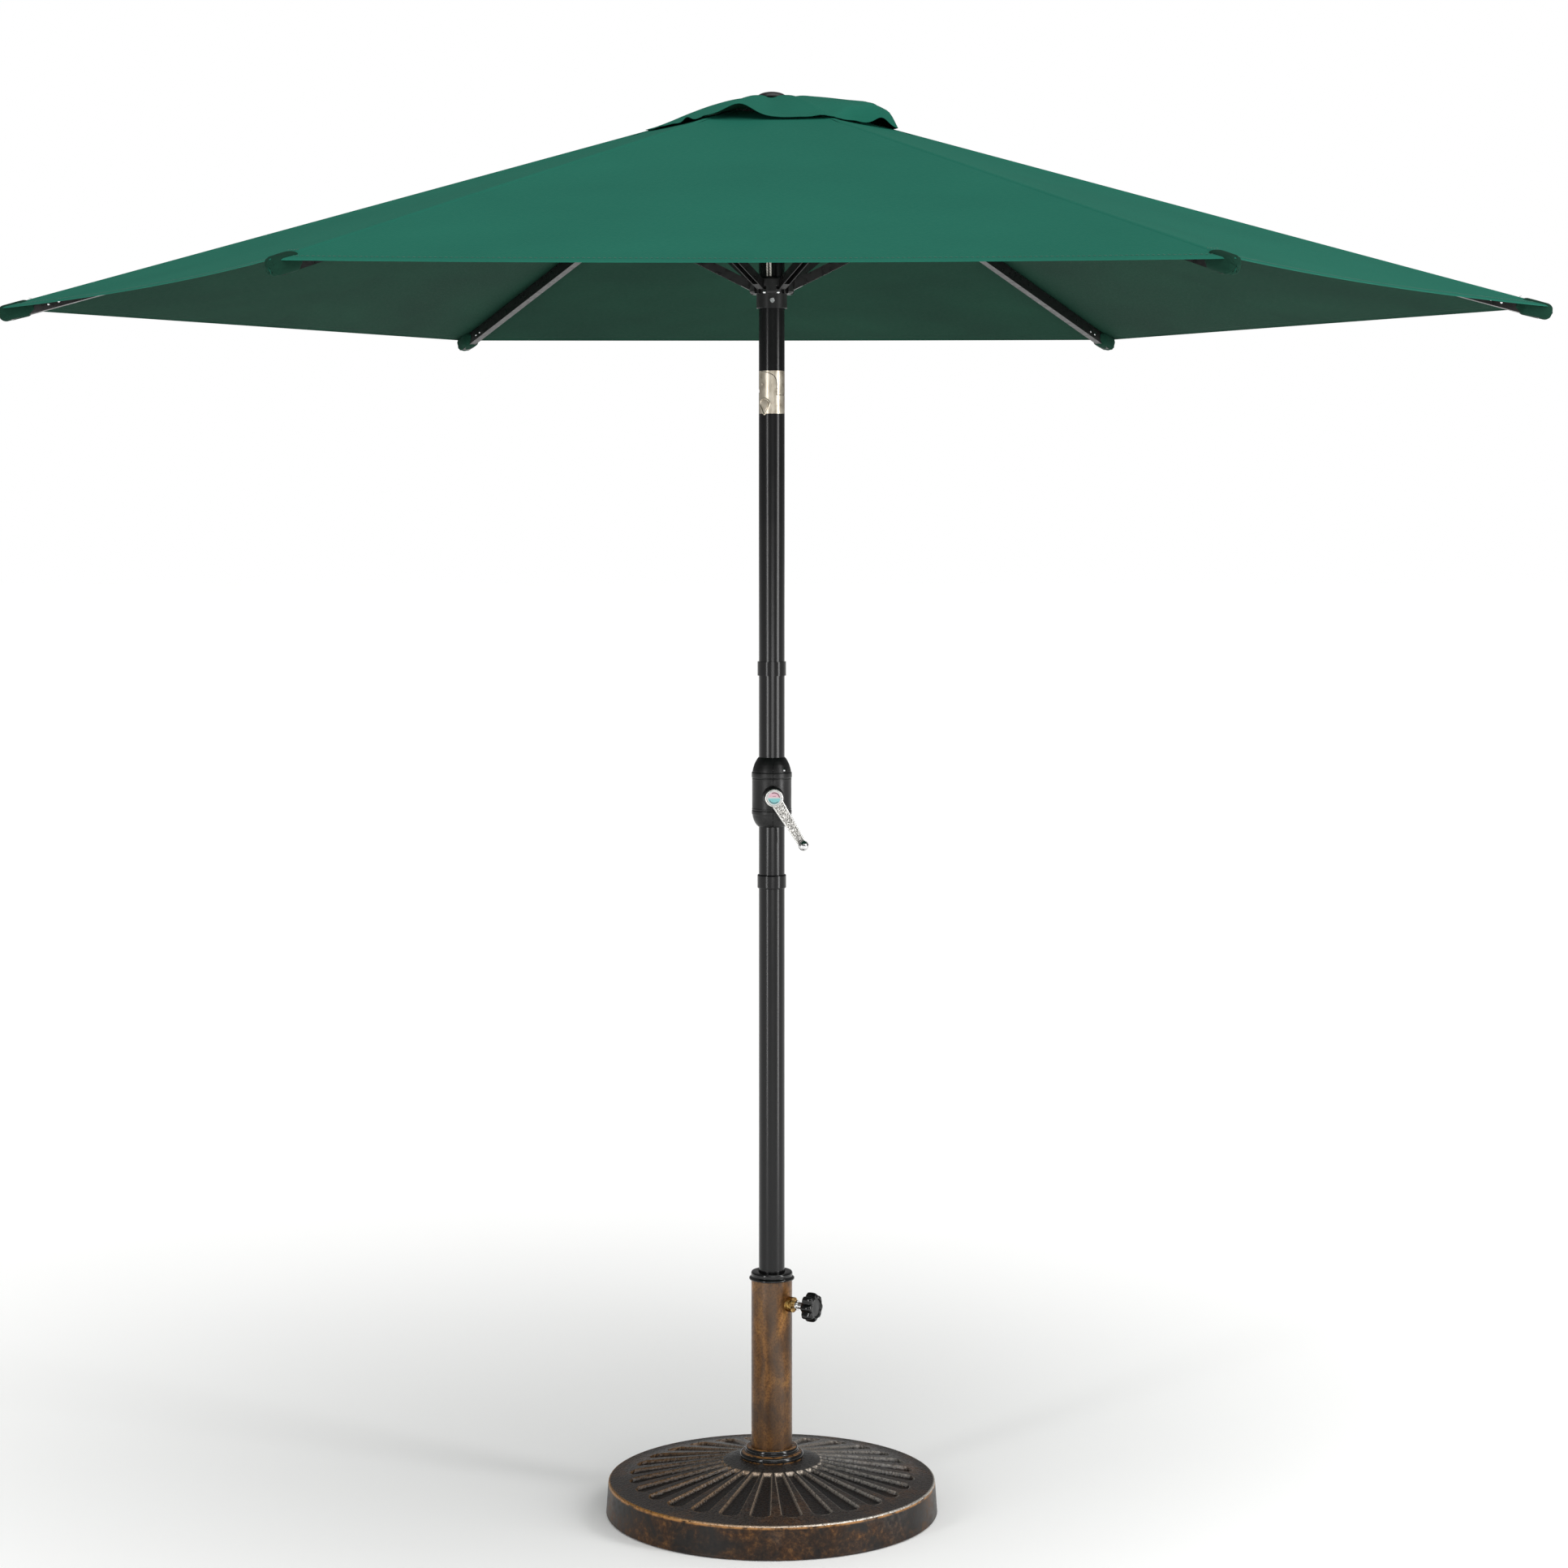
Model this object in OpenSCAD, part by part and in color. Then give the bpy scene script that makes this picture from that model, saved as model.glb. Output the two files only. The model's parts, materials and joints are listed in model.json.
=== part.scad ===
// Six-rib crank umbrella with a push-button tilt, standing in a round weighted base.
// Origin: centre of the base's underside. +Z is up the mast, -Y is the crank's side.

/* [Canopy] */
// Distance from the mast axis to a canopy corner
canopy_r = 1143; // [1100:1:1180]
// Height of the canopy's apex above the ground
apex_z = 2080; // [2060:1:2100]
// Drop from the apex to the corners
canopy_drop = 309; // [290:1:330]
// How far the hem curves in at the middle of each side
hem_scoop = 25; // [10:1:40]
// Turn of the first rib from the +X axis, in degrees
rib_turn = -1.2; // [-5:0.1:5]
// Outer radius of the vent cap
vent_r = 186; // [170:1:200]

/* [Frame] */
// Outside diameter of the mast tube
pole_d = 38; // [38:0.1:38.2]
// Height of the strut pivots on the open runner
runner_z = 1802; // [1795:1:1805]
// Distance along a rib from its hub pin to its strut clip
clip_at = 326; // [320:1:332]
// Height of the crank's axle
crank_z = 1053; // [1045:1:1060]
// Turn of the crank unit about the mast, in degrees
crank_turn = 4; // [0:1:8]

/* [Base] */
// Diameter of the base disc at the ground
base_d = 487; // [480:1:500]
// Height of the base disc
base_h = 48; // [46:1:50]
// Number of flutes in the sunburst
flute_count = 28; // [20:1:30]
// Depth of each flute
flute_depth = 5; // [3:0.5:7]
// Height of the stem tube's top
stem_top = 335; // [330:1:338]
// Height of the clamp knob's axis
knob_z = 307; // [304:1:309]

/* [Hidden] */
RIBS = [1:6];
$fn = 64;

// Mast tube
pole_r = pole_d / 2;
pole_wall = 1.5;
pole_in = pole_r - pole_wall;
splice_z = 926;         // butt joint of the lower and middle tubes, inside the lower collar
neck_top = 985;         // swaged neck of the lower tube
mast_foot = 54;
tilt_foot = 1614;       // the tilt casting begins here
tilt_head = 1677;       // and ends here
pole_top = 2072;

// Tilt joint: the upper half swings about a pin near the left wall of the mast
tilt_x = -15.5;
tilt_z = 1657;
tilt_pin_r = 2;
tongue_w = 10;          // of the upper half's tongue, between the cheeks of the lower half
seam_gap = 0.4;
shelf_z = 1641;
cheek_x = 7.2;          // right side of the lower half's cheeks
// Outline of the lower half's cheeks, front view, from the left wall to the shelf; it comes no
// nearer to the pin further up, so the upper half clears it as it swings
cheek = [[-24, 1676], [-19, 1676], [-14, 1676], [-8.8, 1675], [-4, 1673.5], [0, 1671.5],
         [4, 1668.5], [cheek_x - 1.8, 1665.9], [cheek_x - 0.3, 1660.9], [cheek_x, tilt_z],
         [cheek_x, shelf_z]];
button_turn = -124.3;
button_z = 1628;
button_r = 6.9;
button_out = 19;

// Ribs and struts: a rib hangs on the hub's pin, a strut hangs on the rib's clip
rib_w = 12;
rib_h = 18;
rib_wall = 1.2;
hub_r = 32;             // of the circle of hub pins
hub_z = 2058.5;
rib_pin_r = 2.2;
fabric_slope = atan(canopy_drop / canopy_r);
rib_len = (canopy_r - hub_r) / cos(fabric_slope) - 11;
clip_drop = 16;         // of the strut's pin, below the rib's centre line
clip_plate = 2.2;
strut_w = 11.4;
strut_h = 13;
strut_pin_r = 2.5;
runner_pin_r = 30;      // of the circle of strut pins on the runner
clip_r = hub_r + clip_at * cos(fabric_slope) - clip_drop * sin(fabric_slope);
clip_z = hub_z - clip_at * sin(fabric_slope) - clip_drop * cos(fabric_slope);
strut_len = norm([clip_r - runner_pin_r, clip_z - runner_z]);
strut_slope = atan2(clip_z - runner_z, clip_r - runner_pin_r);

// Runner
runner_bore = 21.3;
sleeve_r = 22.5;
crown_r = 34;
crown_low = runner_z - 12;
crown_top = runner_z + 12;
sleeve_low = 1769;
slot_w = 12;

// Lift cord and its pulley
cord_r = 1.5;
cord_in = [10.5, 0];    // where it climbs inside the mast
cord_out = [-5, -24];   // where it hangs outside the mast
pulley_z = 2005;
pulley_mid = (cord_in + cord_out) / 2;
pulley_r = norm(cord_in - cord_out) / 2;
pulley_turn = atan2(cord_out.y - cord_in.y, cord_out.x - cord_in.x);
pulley_w = 6;
axle_r = 5;
drum_r = cord_in.x - cord_r;

// Crank housing and handle
housing_low = 1007;
housing_top = 1106;
housing_r = 29;
boss_y = 45;            // how far the boss stands out from the mast axis
boss_r = 14.75;
handle_t = 8;
handle_len = 81;
handle_slope = -58.5;
ball_r = 7.5;

// Base and stem
base_top_r = 240;
edge = 2;
flute_in_r = 74;
flute_out_r = 209;
flute_in_w = 8.6;
flute_out_w = 26.5;
flute_phase = -94.5;
stem_r = 30;
stem_wall = 2;
flange_r = 36;
flange_t = 5;
bolt_circle = 24;
bolt_r = 4;
knob_turn = -31;
stud_r = 5;
nut_out = 38;           // outer face of the clamp nut, from the mast axis
knob_in = 56;
knob_out = 78;
knob_r = 21.5;

// Canopy
canopy_t = 1.5;
vent_hole_r = 110;
gore_k = canopy_drop / (canopy_r * cos(30));

function rib_angle(k) = rib_turn + 60 * (k - 1);
// Distance from the apex to the hem, a degrees away from a rib
function hem_r(a) = canopy_r * cos(30) / cos(30 - abs(a))
    - hem_scoop * (1 - pow(1 - abs(a) / 30, 2));
// Height of the flat gore at distance r, a degrees away from a rib
function gore_z(r, a) = apex_z - gore_k * r * cos(30 - abs(a));
function arc(c, r, a0, a1, n = 5) = [for (i = [0:n]) c + r * [cos(a0 + (a1 - a0) * i / n),
                                                              sin(a0 + (a1 - a0) * i / n)]];

module tube(r_out, r_in, low, high) {
    rotate_extrude() translate([r_in, low]) square([r_out - r_in, high - low]);
}
// Places a child drawn along +X at azimuth a and height z
module at_azimuth(a, z = 0) { translate([0, 0, z]) rotate([0, 0, a]) children(); }
// A rod along +X from x0 to x1
module rod(r, x0, x1) { translate([x0, 0, 0]) rotate([0, 90, 0]) cylinder(r = r, h = x1 - x0); }
// A rod along Y centred on the XZ plane
module cross_rod(r, w) { rotate([90, 0, 0]) cylinder(r = r, h = w, center = true); }
// A plate along Y from a front-view outline
module plate(w) { rotate([90, 0, 0]) linear_extrude(w, center = true) children(); }

// ---- base ----
module flute() {
    o = flute_out_w / 2;
    c = 5;
    i = flute_in_w / 2;
    corner = flute_out_r - c;
    linear_extrude(flute_depth + 1)
        polygon(concat([[flute_in_r, -i]], arc([corner, -o + c], c, -90, 0),
                       arc([corner, o - c], c, 0, 90), [[flute_in_r, i]]));
}
module base_disc() {
    color("#2f2b28") difference() {
        rotate_extrude($fn = 128)
            polygon([[0, 0], [base_d / 2 - edge, 0], [base_d / 2, edge], [base_top_r, base_h - edge],
                     [base_top_r - edge, base_h], [0, base_h]]);
        for (i = [0:flute_count - 1])
            at_azimuth(flute_phase + i * 360 / flute_count, base_h - flute_depth) flute();
        for (a = [0:120:240]) at_azimuth(a) translate([bolt_circle, 0, -1]) {
            cylinder(r = bolt_r + 0.3, h = base_h + 2);
            cylinder(r = 9.5, h = 13);
        }
    }
}
module base_stem() {
    color("#5a4630") difference() {
        union() {
            tube(stem_r, stem_r - stem_wall, base_h, stem_top - 2);
            tube(flange_r, 15, base_h, base_h + flange_t);
        }
        for (a = [0:120:240]) at_azimuth(a) translate([bolt_circle, 0, base_h - 1])
            cylinder(r = bolt_r + 0.05, h = flange_t + 2);
        at_azimuth(knob_turn, knob_z) rod(stud_r + 0.3, 20, 40);
    }
}
module stem_trim() {
    color("#191817") rotate_extrude()
        polygon(concat([[flange_r + 0.3, base_h]], arc([44, base_h + 3], 3, -60, 0),
                       arc([42.5, base_h + 4.5], 4.5, 10, 90), arc([35, base_h + 14], 4, -30, 90),
                       [[stem_r + 0.1, base_h + 18], [stem_r + 0.1, base_h + flange_t + 0.3],
                        [flange_r + 0.3, base_h + flange_t + 0.3]]));
}
module stem_cap() {
    foot = base_h + flange_t + 0.5;
    bore = pole_r + 0.3;
    inside = stem_r - stem_wall - 0.1;
    color("#151515") difference() {
        rotate_extrude() polygon(concat(
            [[bore, foot], [inside, foot], [inside, foot + 10], [bore + 2.5, foot + 10],
             [bore + 2.5, stem_top - 20], [inside, stem_top - 20], [inside, stem_top - 2],
             [31, stem_top - 2]],
            arc([30.5, stem_top], 2, -80, 0, 4), arc([30, stem_top + 4.5], 2.5, 0, 60, 4),
            arc([28.5, stem_top + 8], 2, -30, 0, 3), arc([28, stem_top + 11.5], 2.5, 0, 90, 5),
            [[bore + 0.8, stem_top + 14], [bore, stem_top + 13.2]]));
        at_azimuth(knob_turn, knob_z) rod(stud_r + 0.3, 15, 40);
    }
}
module base_bolts() {
    color("#8a8a88") for (a = [0:120:240]) at_azimuth(a) translate([bolt_circle, 0, 0]) {
        translate([0, 0, 5.5]) cylinder(r = 7.4, h = 6.5, $fn = 6);
        translate([0, 0, 8]) cylinder(r = bolt_r, h = base_h + flange_t - 8);
    }
}
module clamp_nut() {
    color("#7c5a34") difference() {
        at_azimuth(knob_turn, knob_z) rod(11, 25, nut_out);
        translate([0, 0, knob_z - 20]) cylinder(r = stem_r + 0.05, h = 40);
        at_azimuth(knob_turn, knob_z) rod(stud_r + 0.05, 20, 40);
    }
}
module clamp_stud() {
    color("#c9c9c6") at_azimuth(knob_turn, knob_z) {
        rod(stud_r, pole_r + 0.2, knob_out - 8);
        rod(stud_r + 2.5, nut_out + 5.2, nut_out + 7.4);
    }
}
module clamp_knob() {
    lobes = 8;
    bore = stud_r + 0.05;
    color("#161616") at_azimuth(knob_turn, knob_z) rotate([0, 90, 0]) {
        difference() {
            union() {
                rotate_extrude() polygon([[0, knob_in], [11, knob_in], [12, knob_in + 3], [18, knob_in + 3.5],
                    [18, knob_out - 1.5], [14.5, knob_out], [13, knob_out], [12.5, knob_out - 1.2],
                    [0, knob_out - 1.2]]);
                for (a = [0:360 / lobes:359]) rotate(a) translate([knob_r - 5.2, 0, knob_in + 4.5])
                    cylinder(r = 5.2, h = knob_out - knob_in - 7);
            }
            translate([0, 0, knob_in - 1]) cylinder(r = bore, h = knob_out - knob_in - 6.5);
        }
    }
}

// ---- lower mast ----
module lower_pole() {
    neck = pole_in - 0.1;
    color("#1d1d1e") rotate_extrude()
        polygon([[pole_in, mast_foot], [pole_r, mast_foot], [pole_r, splice_z], [neck, splice_z],
                 [neck, neck_top], [neck - pole_wall, neck_top], [neck - pole_wall, splice_z - 8],
                 [pole_in, splice_z - 14]]);
}
module lower_collar() {
    r = 21.2;
    color("#101010") rotate_extrude()
        polygon(concat([[pole_r + 0.02, splice_z - 10]], arc([r - 2, splice_z - 8], 2, -90, 0),
                       arc([r - 2, splice_z + 8.5], 2, 0, 90), [[pole_r + 0.02, splice_z + 10.5]]));
}
module middle_pole() {
    color("#1d1d1e") difference() {
        tube(pole_r, pole_in, splice_z, tilt_foot);
        at_azimuth(crank_turn - 90, crank_z) rod(axle_r + 0.4, -25, 25);
    }
}
module upper_collar() { color("#1a1a1a") tube(21.1, pole_r + 0.02, 1229, 1249.5); }

// Outline of a band standing out around the crank housing
function ridge(low, high, out = 0.8) = [[housing_r, low], [housing_r + out, low + out],
                                        [housing_r + out, high - out], [housing_r, high]];
module crank_housing(side) {
    bore = pole_r + 0.02;
    rim = 8;
    color("#181818") at_azimuth(crank_turn) difference() {
        union() {
            rotate_extrude() polygon(concat(
                [[bore, housing_low]], arc([housing_r - rim, housing_low + rim], rim, -90, 0),
                ridge(1024, 1031), ridge(1077, 1087),
                arc([housing_r - rim, housing_top - rim], rim, 0, 90), [[bore, housing_top]]));
            at_azimuth(-90, crank_z) rod(boss_r, 0, boss_y);
        }
        cylinder(r = bore, h = 2000);
        at_azimuth(-90, crank_z) rod(axle_r + 0.05, -pole_r - 5, boss_y + 1);
        translate([side > 0 ? -60 : -0.1, -60, 1000]) cube([60.1, 120, 120]);
        housing_screw_set(0.1, 30);
    }
}
module crank_housing_left() { crank_housing(-1); }
module crank_housing_right() { crank_housing(1); }
// Four screws along X that close the housing; their heads sit in the right half
module housing_screw_set(extra, head_end) {
    for (y = [-21, 21], z = [1018, 1091]) translate([0, y, z]) {
        rod(1.4 + extra, -11, 16);
        rod(2.8 + extra, 15.5, head_end);
    }
}
module housing_screws() { color("#9a9a98") at_azimuth(crank_turn) housing_screw_set(0, 18); }

module crank_axle() {
    color("#b5b5b0") at_azimuth(crank_turn - 90, crank_z) rod(axle_r, -pole_r - 4, boss_y + 5);
}
module crank_spool() {
    color("#d8d8d0") at_azimuth(crank_turn - 90, crank_z) difference() {
        union() {
            rod(drum_r, -9, 9);
            rod(drum_r + 3.5, -9, -7);
            rod(drum_r + 3.5, 7, 9);
        }
        rod(axle_r + 0.05, -10, 10);
    }
}
module crank_handle() {
    color("#b9b7b0") at_azimuth(crank_turn - 90, crank_z) difference() {
        union() {
            rod(13.2, boss_y + 0.5, boss_y + 0.5 + handle_t);
            translate([boss_y + 1.5, 0, 0]) rotate([90, 0, 90])
                linear_extrude(handle_t - 1) rotate(handle_slope)
                    polygon(concat([[0, -9.5], [handle_len - 4, -6]],
                                   arc([handle_len, 0], 6, -90, 90, 8), [[handle_len - 4, 6], [0, 9.5]]));
        }
        rod(axle_r + 0.05, 0, boss_y + 5);
    }
}
module crank_ball() {
    x = handle_len * cos(handle_slope);
    z = handle_len * sin(handle_slope);
    color("#d5d5d3") at_azimuth(crank_turn - 90, crank_z) translate([boss_y + handle_t + 0.5, x, z]) {
        rod(3.2, 0, 3);
        translate([2 + ball_r * 0.9, 0, 0]) sphere(r = ball_r);
    }
}
module crank_label() {
    color("#c96a7c") at_azimuth(crank_turn - 90, crank_z)
        rod(11, boss_y + 0.5 + handle_t, boss_y + 1.5 + handle_t);
}

// ---- tilt joint ----
module cheek_outline(shift = 0) {
    polygon(concat([for (p = cheek) p + [shift, shift]],
                   [[24, shelf_z + shift], [24, tilt_foot - 60], [-24, tilt_foot - 60]]));
}
module tilt_lower() {
    color("#c8beac") difference() {
        intersection() {
            union() {
                translate([0, 0, tilt_foot]) cylinder(r = pole_r, h = 70);
                translate([0, 0, tilt_foot - 36]) cylinder(r = pole_in - 0.1, h = 40);
            }
            plate(60) cheek_outline();
        }
        translate([-30, -tongue_w / 2 - 0.3, shelf_z + 4]) cube([60, tongue_w + 0.6, 60]);
        translate([tilt_x, 0, tilt_z]) cross_rod(tilt_pin_r + 0.03, 60);
        translate([cord_in.x, cord_in.y, 1500]) cylinder(r = 3, h = 200);
        at_azimuth(button_turn, button_z) rod(button_r + 0.1, 3, 30);
    }
}
module tilt_upper() {
    color("#c8beac") difference() {
        union() {
            difference() {
                translate([0, 0, tilt_foot]) cylinder(r = pole_r, h = tilt_head - tilt_foot);
                plate(60) cheek_outline(seam_gap);
            }
            translate([0, 0, tilt_head - 0.5]) cylinder(r = pole_in - 0.1, h = 36);
            intersection() {
                translate([0, 0, tilt_foot]) cylinder(r = pole_r, h = tilt_head - tilt_foot);
                translate([-30, -tongue_w / 2, shelf_z + 9]) cube([60, tongue_w, 30]);
            }
        }
        translate([tilt_x, 0, tilt_z]) cross_rod(tilt_pin_r + 0.05, 60);
        translate([cord_in.x, cord_in.y, 1500]) cylinder(r = 3, h = 300);
    }
}
module tilt_pin() {
    color("#8f8a80") intersection() {
        translate([tilt_x, 0, tilt_z]) cross_rod(tilt_pin_r, 24);
        translate([0, 0, tilt_foot]) cylinder(r = pole_r, h = 60);
    }
}
module tilt_button() {
    color("#d6cfc2") at_azimuth(button_turn, button_z) {
        rod(button_r, 9, button_out - 0.4);
        rod(button_r - 1.2, 12, button_out);
    }
}
module tilt_spring() {
    color("#a8a8a4") at_azimuth(button_turn, button_z) rotate([0, 90, 0])
        for (i = [0:3]) translate([0, 0, 3.8 + i * 1.4])
            rotate_extrude() translate([4, 0]) circle(r = 0.55, $fn = 16);
}

// ---- lift cord ----
module lift_cord_lower() {
    color("#e9e6dd") translate([cord_in.x + 0.2, cord_in.y, crank_z])
        cylinder(r = cord_r, h = shelf_z - crank_z, $fn = 16);
}
// Inner run, half turn over the pulley and the outer run down to the runner
module lift_cord_upper() {
    gap = 0.3;
    inner = pulley_r + gap;
    color("#e9e6dd") translate([pulley_mid.x, pulley_mid.y, 0]) rotate([0, 0, pulley_turn]) {
        translate([-inner, 0, shelf_z + seam_gap])
            cylinder(r = cord_r, h = pulley_z - shelf_z - seam_gap, $fn = 16);
        translate([0, 0, pulley_z]) rotate([90, 0, 0])
            rotate_extrude(angle = 180) translate([inner, 0]) circle(r = cord_r, $fn = 16);
        translate([inner, 0, crown_top + 0.5])
            cylinder(r = cord_r, h = pulley_z - crown_top - 0.5, $fn = 16);
    }
}
module pulley() {
    color("#202020") translate([pulley_mid.x, pulley_mid.y, pulley_z]) rotate([90, 0, pulley_turn])
        difference() {
            rotate_extrude() polygon([[rib_pin_r - 0.15, -pulley_w / 2], [pulley_r + 1.5, -pulley_w / 2],
                [pulley_r + 1.5, -pulley_w / 2 + 0.8], [pulley_r - 1.6, -1.6], [pulley_r - 1.6, 1.6],
                [pulley_r + 1.5, pulley_w / 2 - 0.8], [pulley_r + 1.5, pulley_w / 2],
                [rib_pin_r - 0.15, pulley_w / 2]]);
            for (a = [0:90:270]) rotate(a) translate([7.5, 0, -10]) cylinder(r = 2.2, h = 20);
        }
}

// ---- upper mast ----
// The pulley's pin, from wall to wall of the mast
module pulley_pin(r) {
    intersection() {
        translate([pulley_mid.x, pulley_mid.y, pulley_z]) rotate([0, 0, pulley_turn + 90]) rod(r, -30, 15);
        translate([0, 0, pulley_z - 10]) cylinder(r = pole_r, h = 20);
    }
}
module upper_pole() {
    color("#1d1d1e") difference() {
        tube(pole_r, pole_in, tilt_head, pole_top);
        pulley_pin(2);
        translate([pulley_mid.x, pulley_mid.y, pulley_z]) rotate([0, 0, pulley_turn])
            translate([0, -pulley_w / 2 - 0.5, -19]) cube([30, pulley_w + 1, 38]);
    }
}
module spoke_slots(w, r_in, low, high) {
    for (k = RIBS) at_azimuth(rib_angle(k)) translate([r_in, -w / 2, low]) cube([60, w, high - low]);
}
module top_hub() {
    low = hub_z - 12;
    high = hub_z + 12;
    bore = pole_r + 0.02;
    cap = pole_top + 1.8;
    color("#141414") difference() {
        rotate_extrude() polygon([[bore, low - 20], [22, low - 20], [22, low], [crown_r + 2, low],
            [crown_r + 4, low + 3], [crown_r + 4, high - 4], [crown_r, high], [22, high], [20, cap],
            [4, cap], [4, pole_top + 9], [0, pole_top + 9], [0, pole_top], [bore, pole_top]]);
        spoke_slots(rib_w + 0.6, 22.5, low - 1, high + 1);
        hub_pin_set(rib_pin_r);
    }
}
module hub_pin_set(r) {
    for (k = RIBS) at_azimuth(rib_angle(k), hub_z) translate([hub_r, 0, 0]) cross_rod(r, 21);
}
module hub_pins() {
    color("#a0a09c") {
        hub_pin_set(rib_pin_r);
        pulley_pin(2);
    }
}
module finial() {
    low = pole_top + 9.3;
    color("#171717") rotate_extrude()
        polygon(concat([[0, low + 1.1], [4.2, low + 1.1], [4.2, low], [9, low], [9, pole_top + 6.6]],
                       [for (a = [0:10:90]) [22.5 * cos(a), pole_top + 6.6 + 9.4 * sin(a)]]));
}
module vent_canopy() {
    color("#286858") rotate_extrude() polygon(concat(
        [for (r = [9.5, 60, 110, 150]) [r, vent_z(r) - canopy_t]], [[vent_r - canopy_t, vent_z(vent_r)]],
        [[vent_r, vent_z(vent_r)]], [for (r = [150, 110, 60, 9.5]) [r, vent_z(r)]]));
}
// Height of the vent cap: nearly flat near the finial, turned down to the canopy at its edge
function vent_z(r) = pole_top + 6.2 - 0.12 * r - 24 * pow(r / vent_r, 8);

// ---- runner ----
module pin_seat() {
    seat = strut_pin_r + 0.1;
    plate(20.6) union() {
        circle(r = seat);
        polygon([[-seat, 0], [seat, 0], [seat + 5, -16], [-seat, -16]]);
    }
}
module runner() {
    color("#141414") difference() {
        rotate_extrude() polygon([[runner_bore, sleeve_low], [sleeve_r - 0.5, sleeve_low],
            [sleeve_r, sleeve_low + 0.5], [sleeve_r, crown_low], [crown_r - 2, crown_low],
            [crown_r, crown_low + 3],
            [crown_r, crown_top - 3], [crown_r - 3, crown_top], [runner_bore, crown_top]]);
        spoke_slots(slot_w, sleeve_r + 0.3, crown_low - 1, crown_top + 1);
        for (k = RIBS) at_azimuth(rib_angle(k), runner_z) translate([runner_pin_r, 0, 0]) pin_seat();
        at_azimuth(-88, 1780) rod(1.9, 18, 30);
    }
}
module runner_liner() {
    pad = 8;
    color("#3a3a3a") difference() {
        union() {
            tube(runner_bore, runner_bore - 0.8, sleeve_low + 1, crown_top - 1);
            for (a = [0:90:270]) intersection() {
                tube(runner_bore - 0.4, pole_r + 0.25, sleeve_low + 1, crown_top - 1);
                at_azimuth(a) translate([10, -pad / 4, 0]) cube([30, pad / 2, 2000]);
            }
        }
        at_azimuth(-88, 1780) rod(1.9, 18, 30);
    }
}
module runner_screw() {
    color("#d0d0cc") at_azimuth(-88, 1780) {
        rod(1.85, 20.2, sleeve_r);
        difference() {
            rod(3.4, sleeve_r, sleeve_r + 1.6);
            translate([0, 0, 0]) cylinder(r = sleeve_r + 0.05, h = 20, center = true);
        }
    }
}

// ---- ribs, clips and struts, drawn in the rib's own line ----
module on_rib(k) {
    at_azimuth(rib_angle(k), hub_z) translate([hub_r, 0, 0]) rotate([0, fabric_slope, 0]) children();
}
module rib(k) {
    color("#161616") on_rib(k) difference() {
        union() {
            cross_rod(rib_h / 2, rib_w);
            translate([0, -rib_w / 2, -rib_h / 2]) cube([rib_len - 2, rib_w, rib_h]);
            translate([rib_len - 30, -rib_w / 2 - 0.8, -rib_h / 2 - 0.8])
                cube([24, rib_w + 1.6, rib_h + 1.6]);
            translate([rib_len - 9, 0, 0]) cross_rod(rib_h / 2, rib_w + 1.6);
        }
        translate([12, -rib_w / 2 + rib_wall, -rib_h / 2 + rib_wall])
            cube([rib_len - 44, rib_w - 2 * rib_wall, rib_h - 2 * rib_wall]);
        translate([12, -rib_w / 4, -rib_h / 2 - 1]) cube([4, rib_w / 2, 4]);
        cross_rod(rib_pin_r + 0.05, 30);
    }
}
module strut_clip(k) {
    low = -clip_drop - strut_h / 2;
    color("#1b1b1b") on_rib(k) translate([clip_at, 0, 0]) {
        for (s = [-1, 1]) translate([0, s * (rib_w / 2 + clip_plate / 2 + 0.02), 0]) plate(clip_plate)
            polygon([[-17, 5], [-17, -11], [-7, low], [7, low], [9, -11], [15, -8], [15, 5]]);
        translate([-17, -rib_w / 2 - 1, -rib_h / 2 - 1.8]) cube([7, rib_w + 2, 1.7]);
        translate([0, 0, -clip_drop]) cross_rod(strut_pin_r, rib_w + 2);
    }
}
module strut(k) {
    color("#161616") at_azimuth(rib_angle(k), runner_z) translate([runner_pin_r, 0, 0])
        rotate([0, -strut_slope, 0]) {
            difference() {
                union() {
                    cross_rod(strut_h / 2, strut_w);
                    translate([0, -strut_w / 2, -strut_h / 2]) cube([strut_len, strut_w, strut_h]);
                    translate([strut_len, 0, 0]) cross_rod(strut_h / 2, strut_w);
                    cross_rod(strut_pin_r - 0.3, 20);
                }
                translate([14, -strut_w / 2 + rib_wall, -strut_h / 2 - 1])
                    cube([strut_len - 28, strut_w - 2 * rib_wall, strut_h - rib_wall + 1]);
                translate([strut_len, 0, 0]) cross_rod(strut_pin_r + 0.05, 30);
            }
        }
}

// Two half gores, one on each side of a rib, as one closed sheet
module canopy(k) {
    half = 29.97;
    n = 10;
    steps = [for (i = [-n:n]) half * i / n];
    m = len(steps);
    ring = function (r_of, dz)
        [for (a = steps) let (r = r_of(a)) [r * cos(a), r * sin(a), gore_z(r, a) + dz]];
    inner = function (a) vent_hole_r;
    outer = function (a) hem_r(a);
    points = concat(ring(inner, 0), ring(outer, 0), ring(inner, -canopy_t), ring(outer, -canopy_t));
    // two triangles between a step of one row of points and the same step of the next
    band = function (a, b)
        [for (i = [0:m - 2]) each [[a + i, a + i + 1, b + i + 1], [a + i, b + i + 1, b + i]]];
    faces = concat(
        band(0, m), band(m, 3 * m), band(3 * m, 2 * m), band(2 * m, 0),
        [[0, m, 3 * m], [0, 3 * m, 2 * m], [m - 1, 4 * m - 1, 2 * m - 1], [m - 1, 3 * m - 1, 4 * m - 1]]);
    color("#286858") at_azimuth(rib_angle(k)) polyhedron(points, faces);
}

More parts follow.
